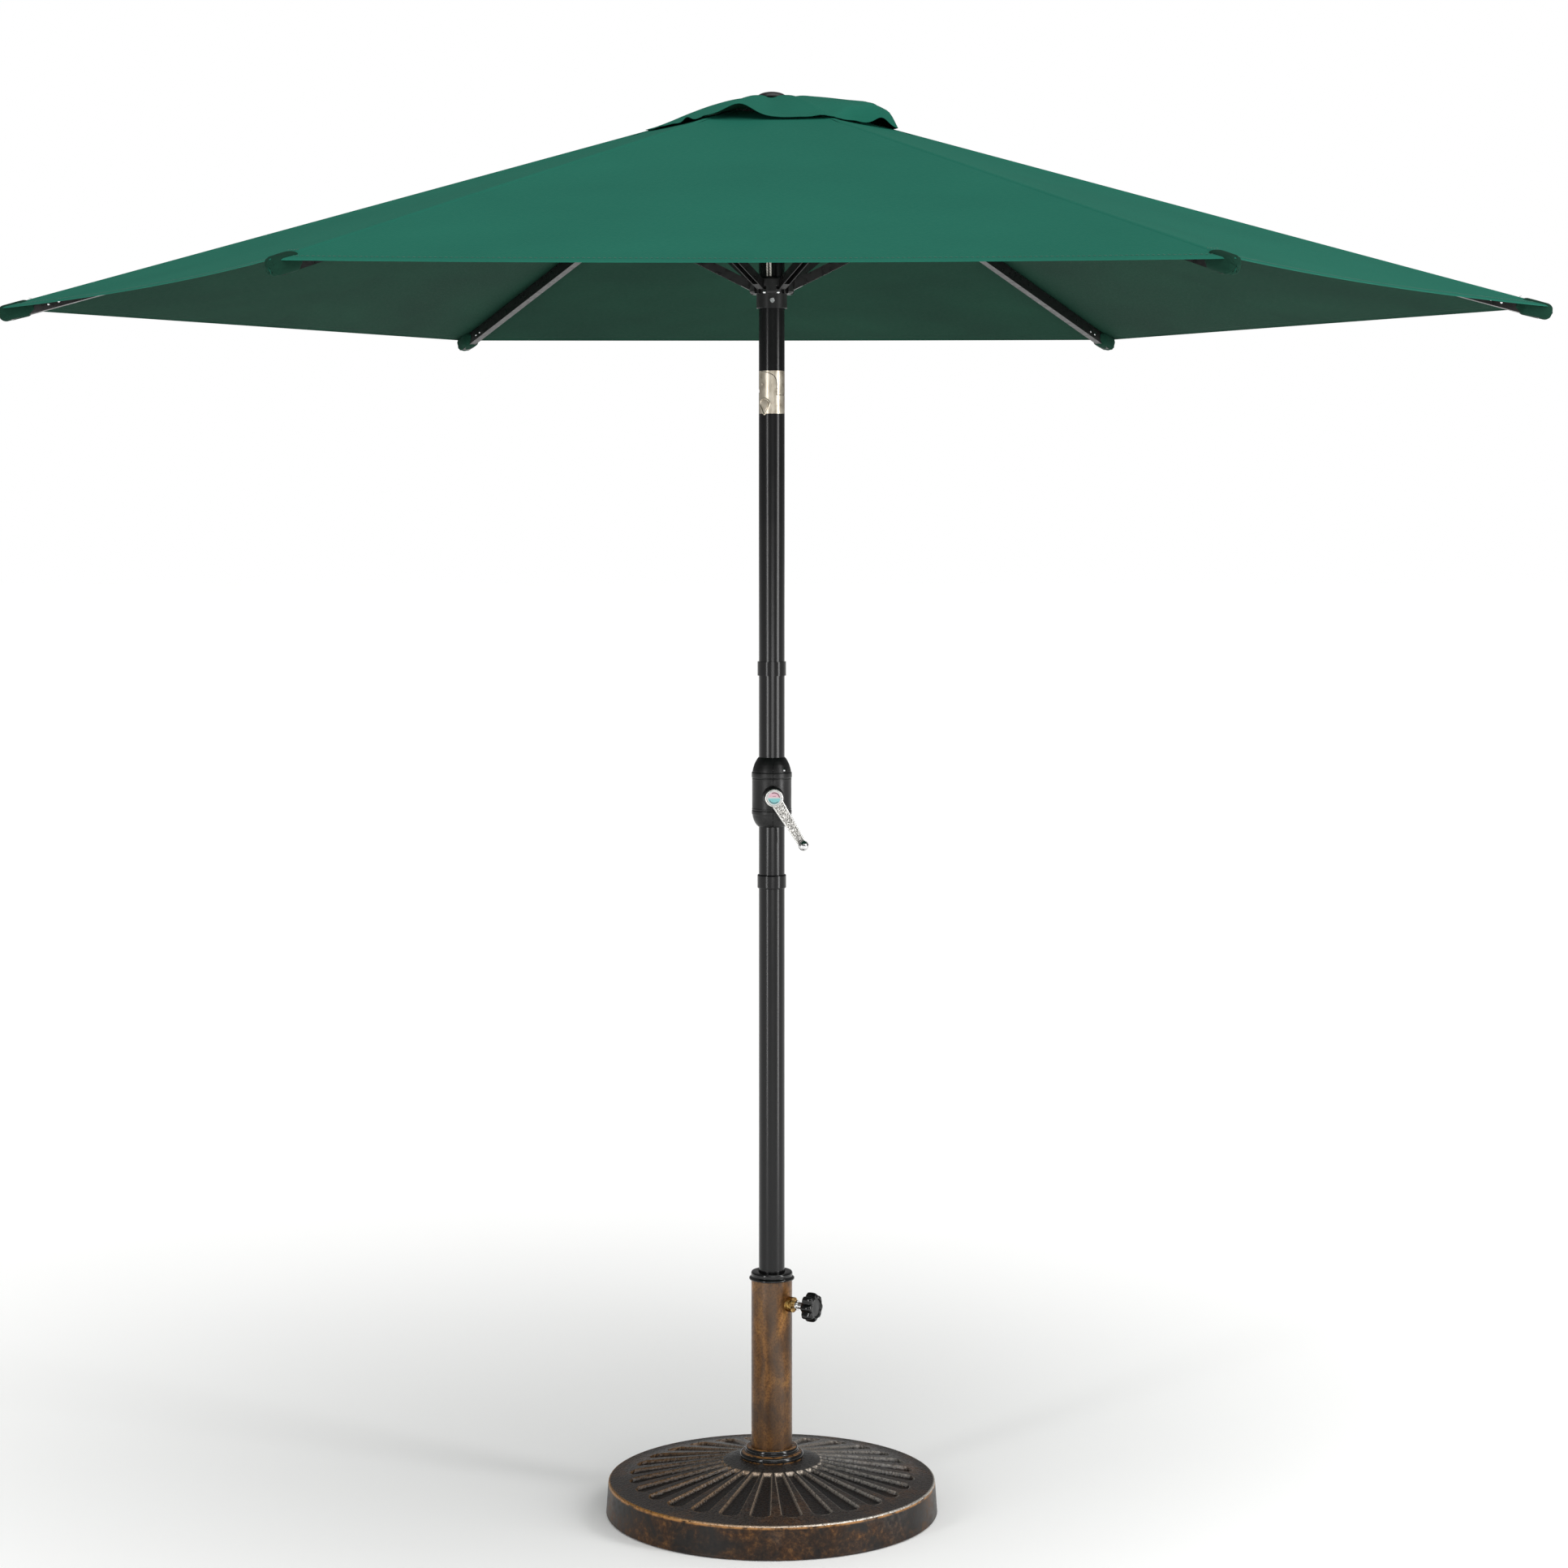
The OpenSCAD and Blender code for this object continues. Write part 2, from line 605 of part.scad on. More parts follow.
base_disc();
base_stem();
stem_trim();
stem_cap();
base_bolts();
clamp_nut();
clamp_stud();
clamp_knob();
lower_pole();
lower_collar();
middle_pole();
upper_collar();
crank_housing_left();
crank_housing_right();
housing_screws();
crank_axle();
crank_spool();
crank_handle();
crank_ball();
crank_label();
tilt_lower();
tilt_upper();
tilt_pin();
tilt_button();
tilt_spring();
lift_cord_lower();
lift_cord_upper();
upper_pole();
top_hub();
hub_pins();
pulley();
runner();
runner_liner();
runner_screw();
vent_canopy();
finial();
for (k = RIBS) {
    rib(k);
    strut_clip(k);
    strut(k);
    canopy(k);
}
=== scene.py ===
"""The looks of a six-rib crank umbrella in its round base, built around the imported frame."""
import json
import math

import bpy
import numpy as np
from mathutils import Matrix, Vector


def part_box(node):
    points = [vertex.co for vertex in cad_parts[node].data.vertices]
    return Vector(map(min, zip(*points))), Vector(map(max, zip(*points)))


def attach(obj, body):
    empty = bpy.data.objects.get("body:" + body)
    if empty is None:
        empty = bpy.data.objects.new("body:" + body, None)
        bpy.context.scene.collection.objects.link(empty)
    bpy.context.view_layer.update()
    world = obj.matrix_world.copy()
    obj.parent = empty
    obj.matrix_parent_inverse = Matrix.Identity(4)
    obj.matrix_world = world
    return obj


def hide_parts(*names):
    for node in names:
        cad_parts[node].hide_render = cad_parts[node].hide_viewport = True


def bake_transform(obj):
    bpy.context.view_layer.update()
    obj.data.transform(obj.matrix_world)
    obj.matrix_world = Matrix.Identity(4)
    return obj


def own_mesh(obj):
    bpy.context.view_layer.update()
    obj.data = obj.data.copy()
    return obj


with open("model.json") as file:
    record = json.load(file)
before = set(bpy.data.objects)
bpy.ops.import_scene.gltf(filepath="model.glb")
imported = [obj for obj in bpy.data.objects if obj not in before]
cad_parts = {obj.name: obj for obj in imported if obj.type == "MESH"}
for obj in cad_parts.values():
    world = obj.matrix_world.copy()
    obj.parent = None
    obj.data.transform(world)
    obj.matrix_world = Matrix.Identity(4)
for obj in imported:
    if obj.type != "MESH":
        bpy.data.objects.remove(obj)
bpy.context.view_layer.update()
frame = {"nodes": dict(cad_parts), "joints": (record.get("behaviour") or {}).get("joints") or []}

MM = 0.001
RIBS = range(1, 7)
RIB_TURN = math.radians(-1.2)
SIXTH = math.radians(60)
HALF_GORE = math.radians(30)


# ---------------------------------------------------------------- sizes, from the frame

def low_high(node):
    low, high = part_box(node)
    return np.array(low), np.array(high)


def radius_of(node):
    low, high = low_high(node)
    return (high[0] - low[0]) / 2


def joint(name):
    return next(j for j in frame["joints"] if j["name"] == name)


BASE_R = radius_of("base_disc")
BASE_H = low_high("base_disc")[1][2]
POLE_R = radius_of("lower_pole")
CANOPY_R = 1143 * MM
APEX_Z = 2080 * MM
CANOPY_DROP = 309 * MM
HEM_SCOOP = 25 * MM
VENT_HOLE_R = 110 * MM
VENT_R = 186 * MM
FABRIC_T = 0.6 * MM
GORE_K = CANOPY_DROP / (CANOPY_R * math.cos(HALF_GORE))
RIB_SLOPE = math.atan(CANOPY_DROP / CANOPY_R)
HUB = np.array(joint("rib_fold_1")["pos_m"])
HUB_R = math.hypot(HUB[0], HUB[1])
HUB_Z = HUB[2]


def rib_turn(k):
    return RIB_TURN + SIXTH * (k - 1)


def spoke(angle):
    """Unit vector in plan at an angle from +X."""
    return np.array([math.cos(angle), math.sin(angle), 0.0])


def upward(z):
    return np.array([0, 0, z])


def round_angles(n):
    """n equal steps round a circle, from 0."""
    return [2 * math.pi * j / n for j in range(n)]


def rib_directions(k):
    """Unit vectors out along rib k, to its side and up from it."""
    turn = rib_turn(k)
    out = spoke(turn) * math.cos(RIB_SLOPE) + upward(-math.sin(RIB_SLOPE))
    side = spoke(turn + math.pi / 2)
    return out, side, np.cross(out, side)


def hub_at(k):
    """Where rib k hangs on the hub."""
    return spoke(rib_turn(k)) * HUB_R + upward(HUB_Z)


# ---------------------------------------------------------------- colours and materials

def colour(code):
    """sRGB hex to the linear colour a shader takes."""
    parts = [int(code[i:i + 2], 16) / 255 for i in (1, 3, 5)]
    return (*[c / 12.92 if c <= 0.04045 else ((c + 0.055) / 1.055) ** 2.4 for c in parts], 1.0)


def add(tree, kind, inputs=None, **settings):
    """Adds a node, sets its properties, and sets or links its inputs."""
    n = tree.nodes.new(kind)
    for name, value in settings.items():
        setattr(n, name, value)
    for name, value in (inputs or {}).items():
        if isinstance(value, bpy.types.NodeSocket):
            tree.links.new(value, n.inputs[name])
        else:
            n.inputs[name].default_value = value
    return n


def new_material(name, **shader):
    """A material with one Principled shader, and its tree and shader."""
    m = bpy.data.materials.new(name)
    m.use_nodes = True
    tree = m.node_tree
    bsdf = tree.nodes["Principled BSDF"]
    for key, value in shader.items():
        bsdf.inputs[key.replace("_", " ")].default_value = value
    return m, tree, bsdf


def feed(shader, name, value):
    """Links a value to one of the shader's inputs."""
    shader.id_data.links.new(value, shader.inputs[name])


def ramp(tree, fac, stops):
    """A colour ramp over (position, hex) stops."""
    n = add(tree, "ShaderNodeValToRGB", {"Fac": fac})
    while len(n.color_ramp.elements) < len(stops):
        n.color_ramp.elements.new(1.0)
    for element, (at, code) in zip(n.color_ramp.elements, stops):
        element.position = at
        element.color = colour(code)
    return n.outputs["Color"]


def noise(tree, size, detail=4.0, roughness=0.55, distortion=0.0, coords=None):
    """Noise whose largest blots are about size metres across, in object coordinates unless given others."""
    if coords is None:
        coords = objects(tree)
    n = add(tree, "ShaderNodeTexNoise", {"Vector": coords, "Scale": 1 / size, "Detail": detail,
                                         "Roughness": roughness, "Distortion": distortion})
    return n.outputs["Fac"]


def stretched(tree, scale):
    """Object coordinates stretched along an axis."""
    place = add(tree, "ShaderNodeTexCoord")
    placed = add(tree, "ShaderNodeMapping", {"Vector": place.outputs["Object"], "Scale": scale})
    return placed.outputs["Vector"]


def objects(tree):
    return add(tree, "ShaderNodeTexCoord").outputs["Object"]


def bump(tree, height, depth, strength=1.0, normal=None):
    """Normals for a height of 0 to 1 that stands depth metres."""
    inputs = {"Height": height, "Distance": depth, "Strength": strength}
    if normal is not None:
        inputs["Normal"] = normal
    return add(tree, "ShaderNodeBump", inputs).outputs["Normal"]


def blend_colours(tree, fac, a, b):
    n = add(tree, "ShaderNodeMix", data_type="RGBA")
    tree.links.new(fac, n.inputs["Factor"])
    for socket, value in ((n.inputs[6], a), (n.inputs[7], b)):
        if isinstance(value, bpy.types.NodeSocket):
            tree.links.new(value, socket)
        else:
            socket.default_value = colour(value)
    return n.outputs[2]


def maths(tree, operation, a, b=0.0):
    n = add(tree, "ShaderNodeMath", operation=operation)
    for socket, value in zip(n.inputs, (a, b)):
        if isinstance(value, bpy.types.NodeSocket):
            tree.links.new(value, socket)
        else:
            socket.default_value = value
    return n.outputs[0]


def span(tree, value, low, high, to_low=0.0, to_high=1.0):
    n = add(tree, "ShaderNodeMapRange", {"Value": value, "From Min": low, "From Max": high,
                                         "To Min": to_low, "To Max": to_high})
    return n.outputs["Result"]


def attribute(tree, name):
    return add(tree, "ShaderNodeAttribute", attribute_name=name).outputs["Fac"]


def powder_coat():
    """Steel tube, black polyester powder coat: an even shine that spreads each lamp into a soft streak."""
    m, t, s = new_material("powder_coated_steel", Base_Color=colour("#0c0c0d"), IOR=1.5,
                           Specular_IOR_Level=0.3)
    feed(s, "Roughness", span(t, noise(t, 60 * MM), 0.3, 0.7, 0.17, 0.23))
    feed(s, "Normal", bump(t, noise(t, 6 * MM, 2.0), 0.003 * MM))
    return m


def gloss_enamel():
    """Aluminium rib tube, black baked enamel: harder shine than the mast, with light scuffs."""
    m, t, s = new_material("enamelled_aluminium", Base_Color=colour("#0f0f0f"), IOR=1.5,
                           Specular_IOR_Level=0.35)
    scuff = noise(t, 9 * MM, 6.0)
    feed(s, "Roughness", span(t, scuff, 0.35, 0.7, 0.26, 0.42))
    feed(s, "Normal", bump(t, scuff, 0.02 * MM))
    return m


def moulded_nylon():
    """Glass-filled nylon, injection moulded against a fine spark-eroded tool: soft shine, tiny grain."""
    m, t, s = new_material("moulded_nylon", Base_Color=colour("#0e0e0e"), IOR=1.53, Specular_IOR_Level=0.32)
    grain = noise(t, 0.9 * MM, 3.0)
    cloud = noise(t, 25 * MM, 3.0)
    feed(s, "Roughness", span(t, cloud, 0.3, 0.7, 0.3, 0.44))
    feed(s, "Normal", bump(t, grain, 0.04 * MM))
    return m


def polished_abs():
    """ABS moulded against a polished tool: deep black gloss with a little bronze rubbed on its edges."""
    m, t, s = new_material("polished_abs", IOR=1.54, Roughness=0.14, Specular_IOR_Level=0.4)
    rub = maths(t, "MULTIPLY", attribute(t, "edge"), span(t, noise(t, 7 * MM), 0.35, 0.6))
    feed(s, "Base Color", blend_colours(t, rub, "#0d0d0d", "#8a6238"))
    feed(s, "Normal", bump(t, noise(t, 3 * MM, 2.0), 0.02 * MM))
    return m


def old_brass():
    """Brass nut, tumbled and aged: yellow metal gone brown in its low spots."""
    m, t, s = new_material("aged_brass", Metallic=1.0)
    tarnish = noise(t, 4 * MM, 4.0, 0.6)
    feed(s, "Base Color", ramp(t, tarnish, [(0.38, "#5a3c1c"), (0.5, "#a07b3f"), (0.66, "#d8bb78")]))
    feed(s, "Roughness", span(t, tarnish, 0.3, 0.7, 0.45, 0.22))
    return m


def zinc_plate():
    """Steel, bright zinc plated: a clean cool metal with a faint haze."""
    m, t, s = new_material("zinc_plated_steel", Base_Color=colour("#c4c5c6"), Metallic=1.0)
    feed(s, "Roughness", span(t, noise(t, 3 * MM), 0.3, 0.7, 0.2, 0.34))
    return m


def satin_nickel():
    """Zinc die casting, satin nickel plated: warm champagne metal with soft cloudy patches."""
    m, t, s = new_material("satin_nickel_casting", Metallic=1.0)
    cloud = noise(t, 12 * MM, 4.0)
    feed(s, "Base Color", ramp(t, cloud, [(0.3, "#b9ad9a"), (0.55, "#cfc5b4"), (0.75, "#ddd5c8")]))
    feed(s, "Roughness", span(t, cloud, 0.3, 0.7, 0.26, 0.4))
    feed(s, "Normal", bump(t, noise(t, 1.2 * MM, 3.0), 0.03 * MM))
    return m


def bright_nickel():
    """Zinc die casting, bright nickel plated: polished rims round a floor of small dimples that sparkle, each
    darkened towards its bottom with painted shade.
    """
    m, t, s = new_material("bright_nickel_casting", Metallic=1.0)
    cells = add(t, "ShaderNodeTexVoronoi", {"Vector": objects(t), "Scale": 1 / (2.2 * MM)})
    dimples = cells.outputs["Distance"]
    # Painted shade: each dimple is darker towards its bottom and lighter at its rim.
    painted_dimple_shade = ramp(t, dimples, [(0.1, "#5c5a57"), (0.45, "#a3a19d"), (0.8, "#d9d7d3")])
    hammered = attribute(t, "hammered")
    feed(s, "Base Color", blend_colours(t, hammered, "#cfcecb", painted_dimple_shade))
    feed(s, "Roughness", span(t, hammered, 0, 1, 0.16, 0.36))
    tap = add(t, "ShaderNodeBump", {"Height": dimples, "Distance": 0.9 * MM, "Strength": hammered})
    feed(s, "Normal", tap.outputs["Normal"])
    return m


def shadowed_nickel():
    """Painted shadow for the gap of a parting line: a dark, dull metal colour."""
    m, t, s = new_material("parting_line_painted_shadow", Metallic=0.6, Roughness=0.6)
    feed(s, "Base Color", ramp(t, noise(t, 4 * MM), [(0.3, "#2a2620"), (0.7, "#4d463b")]))
    return m


def chrome_ball():
    """Polished steel, chromium plated: a clean mirror."""
    m, t, s = new_material("chromed_steel", Base_Color=colour("#d8d8d8"), Metallic=1.0)
    feed(s, "Roughness", span(t, noise(t, 6 * MM), 0.3, 0.7, 0.06, 0.12))
    return m


def hammered_resin():
    """Filled resin casting in hammered black paint: charcoal grain, bronze further out, flute floors darkened
    with painted shade, and edges with wear and painted glints.
    """
    m, t, s = new_material("hammered_resin_top", IOR=1.5)
    grit = noise(t, 3.2 * MM, 6.0, 0.7)
    cells = add(t, "ShaderNodeTexVoronoi", {"Vector": objects(t), "Scale": 1 / (4.2 * MM)})
    patch = noise(t, 60 * MM, 5.0, 0.6)
    # The grain's colour follows the same noise as its bump, dark in the low spots and light on the tops:
    # partly the paint's own tone, partly painted shade and glint.
    black = ramp(t, grit, [(0.35, "#161514"), (0.52, "#262423"), (0.68, "#403c38")])
    bronze = ramp(t, grit, [(0.35, "#2a1b10"), (0.55, "#57391f"), (0.7, "#8a6236")])
    tint = maths(t, "MULTIPLY", span(t, patch, 0.5, 0.7, 0.1, 0.7), attribute(t, "outer"))
    ground = blend_colours(t, tint, black, bronze)
    # Painted shade: the flute floors and their sloped walls darken towards near-black.
    floor = blend_colours(t, maths(t, "MULTIPLY", attribute(t, "floor"), 0.75), ground, "#0e0e10")
    # Painted reflection: the worn edges run from gold on the left to whitish silver on the right, and the
    # edge mark itself mixes wear with painted glints.
    side = add(t, "ShaderNodeSeparateXYZ", {"Vector": objects(t)}).outputs["X"]
    rubbed = blend_colours(t, span(t, side, -0.16, 0.12), "#b5813f", "#dcd6cc")
    worn = maths(t, "MULTIPLY", attribute(t, "edge"), span(t, grit, 0.34, 0.52))
    feed(s, "Base Color", blend_colours(t, worn, floor, rubbed))
    feed(s, "Roughness", span(t, grit, 0.35, 0.7, 0.24, 0.42))
    feed(s, "Metallic", span(t, worn, 0, 1, 0.05, 0.8))
    rough = bump(t, cells.outputs["Distance"], 0.9 * MM, 1.0)
    feed(s, "Normal", bump(t, grit, 0.5 * MM, 0.9, rough))
    return m


def antique_bronze_rim():
    """The casting's side, sponged with bronze over near-black: soft brown clouds and one cool grey patch."""
    m, t, s = new_material("antique_bronze_rim", IOR=1.5, Specular_IOR_Level=0.3)
    patch = noise(t, 60 * MM, 4.0, 0.55, 0.6)
    stipple = noise(t, 7 * MM, 5.0, 0.65)
    dark = ramp(t, stipple, [(0.35, "#0f0b09"), (0.6, "#1c1510"), (0.75, "#30241a")])
    brown = ramp(t, stipple, [(0.3, "#21160e"), (0.52, "#432c19"), (0.72, "#76512a")])
    grey = ramp(t, stipple, [(0.35, "#1c1b1b"), (0.65, "#3d3b3a")])
    ground = blend_colours(t, span(t, patch, 0.42, 0.6, 0.0, 0.95), dark, brown)
    cool = noise(t, 120 * MM, 2.0, 0.5, 1.0)
    ground = blend_colours(t, span(t, cool, 0.58, 0.72, 0.0, 0.8), ground, grey)
    worn = maths(t, "MULTIPLY", attribute(t, "edge"), span(t, noise(t, 14 * MM), 0.36, 0.56))
    feed(s, "Base Color", blend_colours(t, worn, ground, "#a87743"))
    feed(s, "Roughness", span(t, stipple, 0.3, 0.7, 0.3, 0.5))
    feed(s, "Metallic", span(t, patch, 0.4, 0.7, 0.0, 0.4))
    feed(s, "Normal", bump(t, stipple, 0.25 * MM, 0.6))
    return m


def brushed_bronze():
    """Steel stem sprayed antique bronze: fine gold speckle under broad soft grey bands down the tube, painted
    highlight streaks that grow stronger higher up.
    """
    m, t, s = new_material("sprayed_bronze_stem", Specular_IOR_Level=0.4)
    band = noise(t, 22 * MM, 2.0, 0.4, coords=stretched(t, (1, 1, 0.12)))
    cloud = noise(t, 34 * MM, 4.0, 0.55, 0.5, stretched(t, (1, 1, 0.6)))
    speckle = noise(t, 3 * MM, 4.0, 0.6)
    gold = ramp(t, cloud, [(0.3, "#2c1c0e"), (0.45, "#563a1e"), (0.58, "#7c5630"), (0.72, "#a5773f")])
    flecked = blend_colours(t, span(t, speckle, 0.42, 0.62, 0.0, 0.5), gold, "#2a1a10")
    high = add(t, "ShaderNodeSeparateXYZ", {"Vector": objects(t)}).outputs["Z"]
    # Painted highlight: soft grey streaks down the tube, stronger higher up the stem.
    painted_highlight_bands = maths(t, "MULTIPLY", span(t, band, 0.44, 0.62, 0.0, 0.55), span(t, high, 0.08, 0.2, 0.25, 1.0))
    feed(s, "Base Color", blend_colours(t, painted_highlight_bands, flecked, "#544a42"))
    feed(s, "Roughness", span(t, speckle, 0.3, 0.7, 0.26, 0.4))
    feed(s, "Metallic", span(t, cloud, 0.35, 0.65, 0.35, 0.75))
    feed(s, "Normal", bump(t, speckle, 0.05 * MM, 0.5))
    return m


THREAD = 2.4 * MM     # drawn pitch of the weave; the real 0.5 mm threads are too fine to show


def woven(name, codes, rough, dull=0.0):
    """Plain-woven polyester: warp and weft crossing, in UVs that are metres of cloth. Where threads dip
    under, the colour darkens with painted shade; dull evens this out.
    """
    m, t, s = new_material(name, IOR=1.46, Specular_IOR_Level=0.06)
    cloth = add(t, "ShaderNodeUVMap", uv_map="cloth").outputs["UV"]
    at = add(t, "ShaderNodeSeparateXYZ", {"Vector": cloth})
    turn = math.pi / THREAD
    warp = maths(t, "ABSOLUTE", maths(t, "SINE", maths(t, "MULTIPLY", at.outputs["X"], turn)))
    weft = maths(t, "ABSOLUTE", maths(t, "SINE", maths(t, "MULTIPLY", at.outputs["Y"], turn)))
    checks = add(t, "ShaderNodeTexChecker", {"Vector": cloth, "Scale": 1 / THREAD}).outputs["Fac"]
    mix = add(t, "ShaderNodeMix", {"Factor": checks})
    t.links.new(warp, mix.inputs[2])
    t.links.new(weft, mix.inputs[3])
    over = mix.outputs[0]
    slub = noise(t, 6 * MM, 3.0, coords=cloth)
    broad = noise(t, 300 * MM, 3.0, coords=cloth)
    ground = ramp(t, broad, [(0.3, codes[0]), (0.7, codes[1])])
    # Painted shade: the colour darkens towards codes[2] in the weave's low spots.
    low = span(t, over, 0.0, 0.7, 0.12 - dull * 0.1, 0.0)
    weave_with_painted_shade = blend_colours(t, low, ground, codes[2])
    feed(s, "Base Color", weave_with_painted_shade)
    feed(s, "Roughness", span(t, slub, 0.3, 0.7, rough - 0.05, rough + 0.05))
    feed(s, "Normal", bump(t, over, 0.12 * MM, 0.5))
    return m


def sewn_thread():
    """Polyester sewing thread, a little darker than the cloth it holds."""
    m, t, s = new_material("sewing_thread", IOR=1.46, Sheen_Weight=0.3)
    feed(s, "Base Color", ramp(t, noise(t, 2 * MM), [(0.3, "#154a3c"), (0.7, "#22604f")]))
    s.inputs["Roughness"].default_value = 0.7
    return m


def braided_cord():
    """Braided white polyester cord: crossing strands about 1.5 mm apart, greyer in the grooves between them
    with painted shade.
    """
    m, t, s = new_material("braided_polyester", IOR=1.46, Sheen_Weight=0.4, Roughness=0.75)
    strands = add(t, "ShaderNodeTexWave", {"Vector": objects(t), "Scale": 160.0, "Distortion": 1.5},
                  bands_direction="DIAGONAL").outputs["Fac"]
    # Painted shade: the low parts of the strand wave are greyer than the tops.
    feed(s, "Base Color", ramp(t, strands, [(0.2, "#b9b4a8"), (0.7, "#efece4")]))
    feed(s, "Normal", bump(t, strands, 0.3 * MM))
    return m


def printed_label():
    """Printed vinyl disc under a clear film: pale rose above, pale teal below, a dark arc round each half."""
    m, t, s = new_material("printed_vinyl", IOR=1.5, Roughness=0.35, Specular_IOR_Level=0.25)
    ground = blend_colours(t, attribute(t, "rose"), "#b4b5b3", "#c39aa6")
    ground = blend_colours(t, attribute(t, "teal"), ground, "#63a9ab")
    ground = blend_colours(t, attribute(t, "upper_arc"), ground, "#481a28")
    ground = blend_colours(t, attribute(t, "lower_arc"), ground, "#0e454b")
    grain = noise(t, 0.8 * MM, 2.0)
    feed(s, "Base Color", blend_colours(t, span(t, grain, 0.3, 0.7, 0.0, 0.12), ground, "#ffffff"))
    return m


MAST = powder_coat()
ENAMEL = gloss_enamel()
NYLON = moulded_nylon()
ABS = polished_abs()
ZINC = zinc_plate()
NICKEL = satin_nickel()
NICKEL_BRIGHT = bright_nickel()
# Painted shadow for the tilt joint's parting gap.
SEAM = shadowed_nickel()
CHROME = chrome_ball()
RESIN = hammered_resin()
RIM = antique_bronze_rim()
STEM = brushed_bronze()
BRASS = old_brass()
# Two tones of the cloth, then the darker colour of the painted shade between its threads.
CLOTH = woven("woven_polyester_face", ("#1b6050", "#1e6554", "#123f33"), 0.66)
# The back of the canopy cloth: the same polyester as the face, in a darker copy that paints the shade of the
# underside.
SHADED_BACK_CLOTH = woven("woven_polyester_back_painted_shade", ("#122f25", "#16392c", "#0c211a"), 0.8, 0.5)
THREADS = sewn_thread()
CORD = braided_cord()
LABEL = printed_label()


# ---------------------------------------------------------------- mesh making

def piece(name, points, faces, materials, body, replaces=(), indices=None, ride=True):
    """A mesh piece that rides on a body and takes its finish from a slot."""
    mesh = bpy.data.meshes.new(name)
    mesh.from_pydata([tuple(p) for p in points], [], [tuple(f) for f in faces])
    for m in materials if isinstance(materials, (list, tuple)) else [materials]:
        mesh.materials.append(m)
    if indices is not None:
        mesh.polygons.foreach_set("material_index", indices)
    mesh.polygons.foreach_set("use_smooth", [True] * len(mesh.polygons))
    mesh.update()
    obj = bpy.data.objects.new(name, mesh)
    bpy.context.scene.collection.objects.link(obj)
    if replaces:
        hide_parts(*replaces)
    if ride:
        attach(obj, body)
    return obj


def strip_faces(rows, cols, closed=False, start=0):
    """Quads between rows of cols points each; closed joins the last column to the first."""
    wrap = cols if closed else cols - 1
    return [(start + i * cols + j, start + i * cols + (j + 1) % cols,
             start + (i + 1) * cols + (j + 1) % cols, start + (i + 1) * cols + j)
            for i in range(rows - 1) for j in range(wrap)]


def sharpen(obj, degrees=35):
    """Splits the shading at edges sharper than an angle."""
    obj.data.set_sharp_from_angle(angle=math.radians(degrees))


def point_values(obj, name, values):
    layer = obj.data.attributes.new(name, "FLOAT", "POINT")
    layer.data.foreach_set("value", np.asarray(values, np.float32))


def round_corners(profile, radius, steps=4):
    """Rounds each inner corner of an open outline of (r, z) points."""
    out = [profile[0]]
    for a, b, c in zip(profile, profile[1:], profile[2:]):
        a, b, c = (np.array(p, float) for p in (a, b, c))
        reach = min(radius, 0.45 * np.linalg.norm(a - b), 0.45 * np.linalg.norm(c - b))
        p = b + (a - b) / np.linalg.norm(a - b) * reach
        q = b + (c - b) / np.linalg.norm(c - b) * reach
        for i in range(steps + 1):
            s = i / steps
            out.append(tuple((1 - s) ** 2 * p + 2 * s * (1 - s) * b + s * s * q))
    out.append(profile[-1])
    return out


UPRIGHT = ((0, 0, 0), (1, 0, 0), (0, 1, 0), (0, 0, 1))


def turned(name, profile, material, body, replaces=(), segments=96, at=UPRIGHT, radius=0.8 * MM,
           edge=None):
    """A turned piece: an outline of (r, z) points spun about an axis. at gives its origin, x, y and z."""
    outline = round_corners([(r * MM, z * MM) for r, z in profile], radius)
    centre, ex, ey, ez = (np.array(v, float) for v in at)
    points = []
    for r, z in outline:
        for a in round_angles(segments):
            points.append(centre + ex * r * math.cos(a) + ey * r * math.sin(a) + ez * z)
    faces = [f[::-1] for f in strip_faces(len(outline), segments, closed=True)]
    obj = piece(name, points, faces, material, body, replaces)
    sharpen(obj, 50)
    if edge:
        worn = [max(0.0, 1 - min(abs(z - e * MM) for e in edge) / (0.9 * MM)) for _, z in outline]
        point_values(obj, "edge", np.repeat(worn, segments))
    return obj


def swept(name, path, section, material, body, replaces=(), up=(0, 0, 1), scales=None, ride=True):
    """Sweeps a closed section of (side, up) points along a path, with closed ends."""
    path = [np.array(p, float) for p in path]
    n = len(section)
    points = []
    for i, p in enumerate(path):
        forward = path[min(i + 1, len(path) - 1)] - path[max(i - 1, 0)]
        forward /= np.linalg.norm(forward)
        side = np.cross(forward, up)
        side /= np.linalg.norm(side)
        lift = np.cross(side, forward)
        scale = 1.0 if scales is None else scales[i]
        points += [p + side * x * scale + lift * y * scale for x, y in section]
    faces = strip_faces(len(path), n, closed=True)
    faces += [tuple(range(n))[::-1], tuple(range((len(path) - 1) * n, len(path) * n))]
    obj = piece(name, points, faces, material, body, replaces, ride=ride)
    sharpen(obj)
    return obj


def circle_section(r, n=12):
    return [(r * math.cos(a), r * math.sin(a)) for a in round_angles(n)]


def paint(material, *nodes, bevel=0.0):
    """Gives CAD nodes a material, and rounds their edges."""
    for node in nodes:
        obj = frame["nodes"][node]
        obj.data.materials.clear()
        obj.data.materials.append(material)
        for p in obj.data.polygons:
            p.material_index = 0
            p.use_smooth = True
        obj.data.set_sharp_from_angle(angle=math.radians(32))
        if bevel:
            m = obj.modifiers.new("rounded edges", "BEVEL")
            m.width = bevel
            m.segments = 2
            m.limit_method = "ANGLE"
            m.angle_limit = math.radians(40)
            m.harden_normals = False


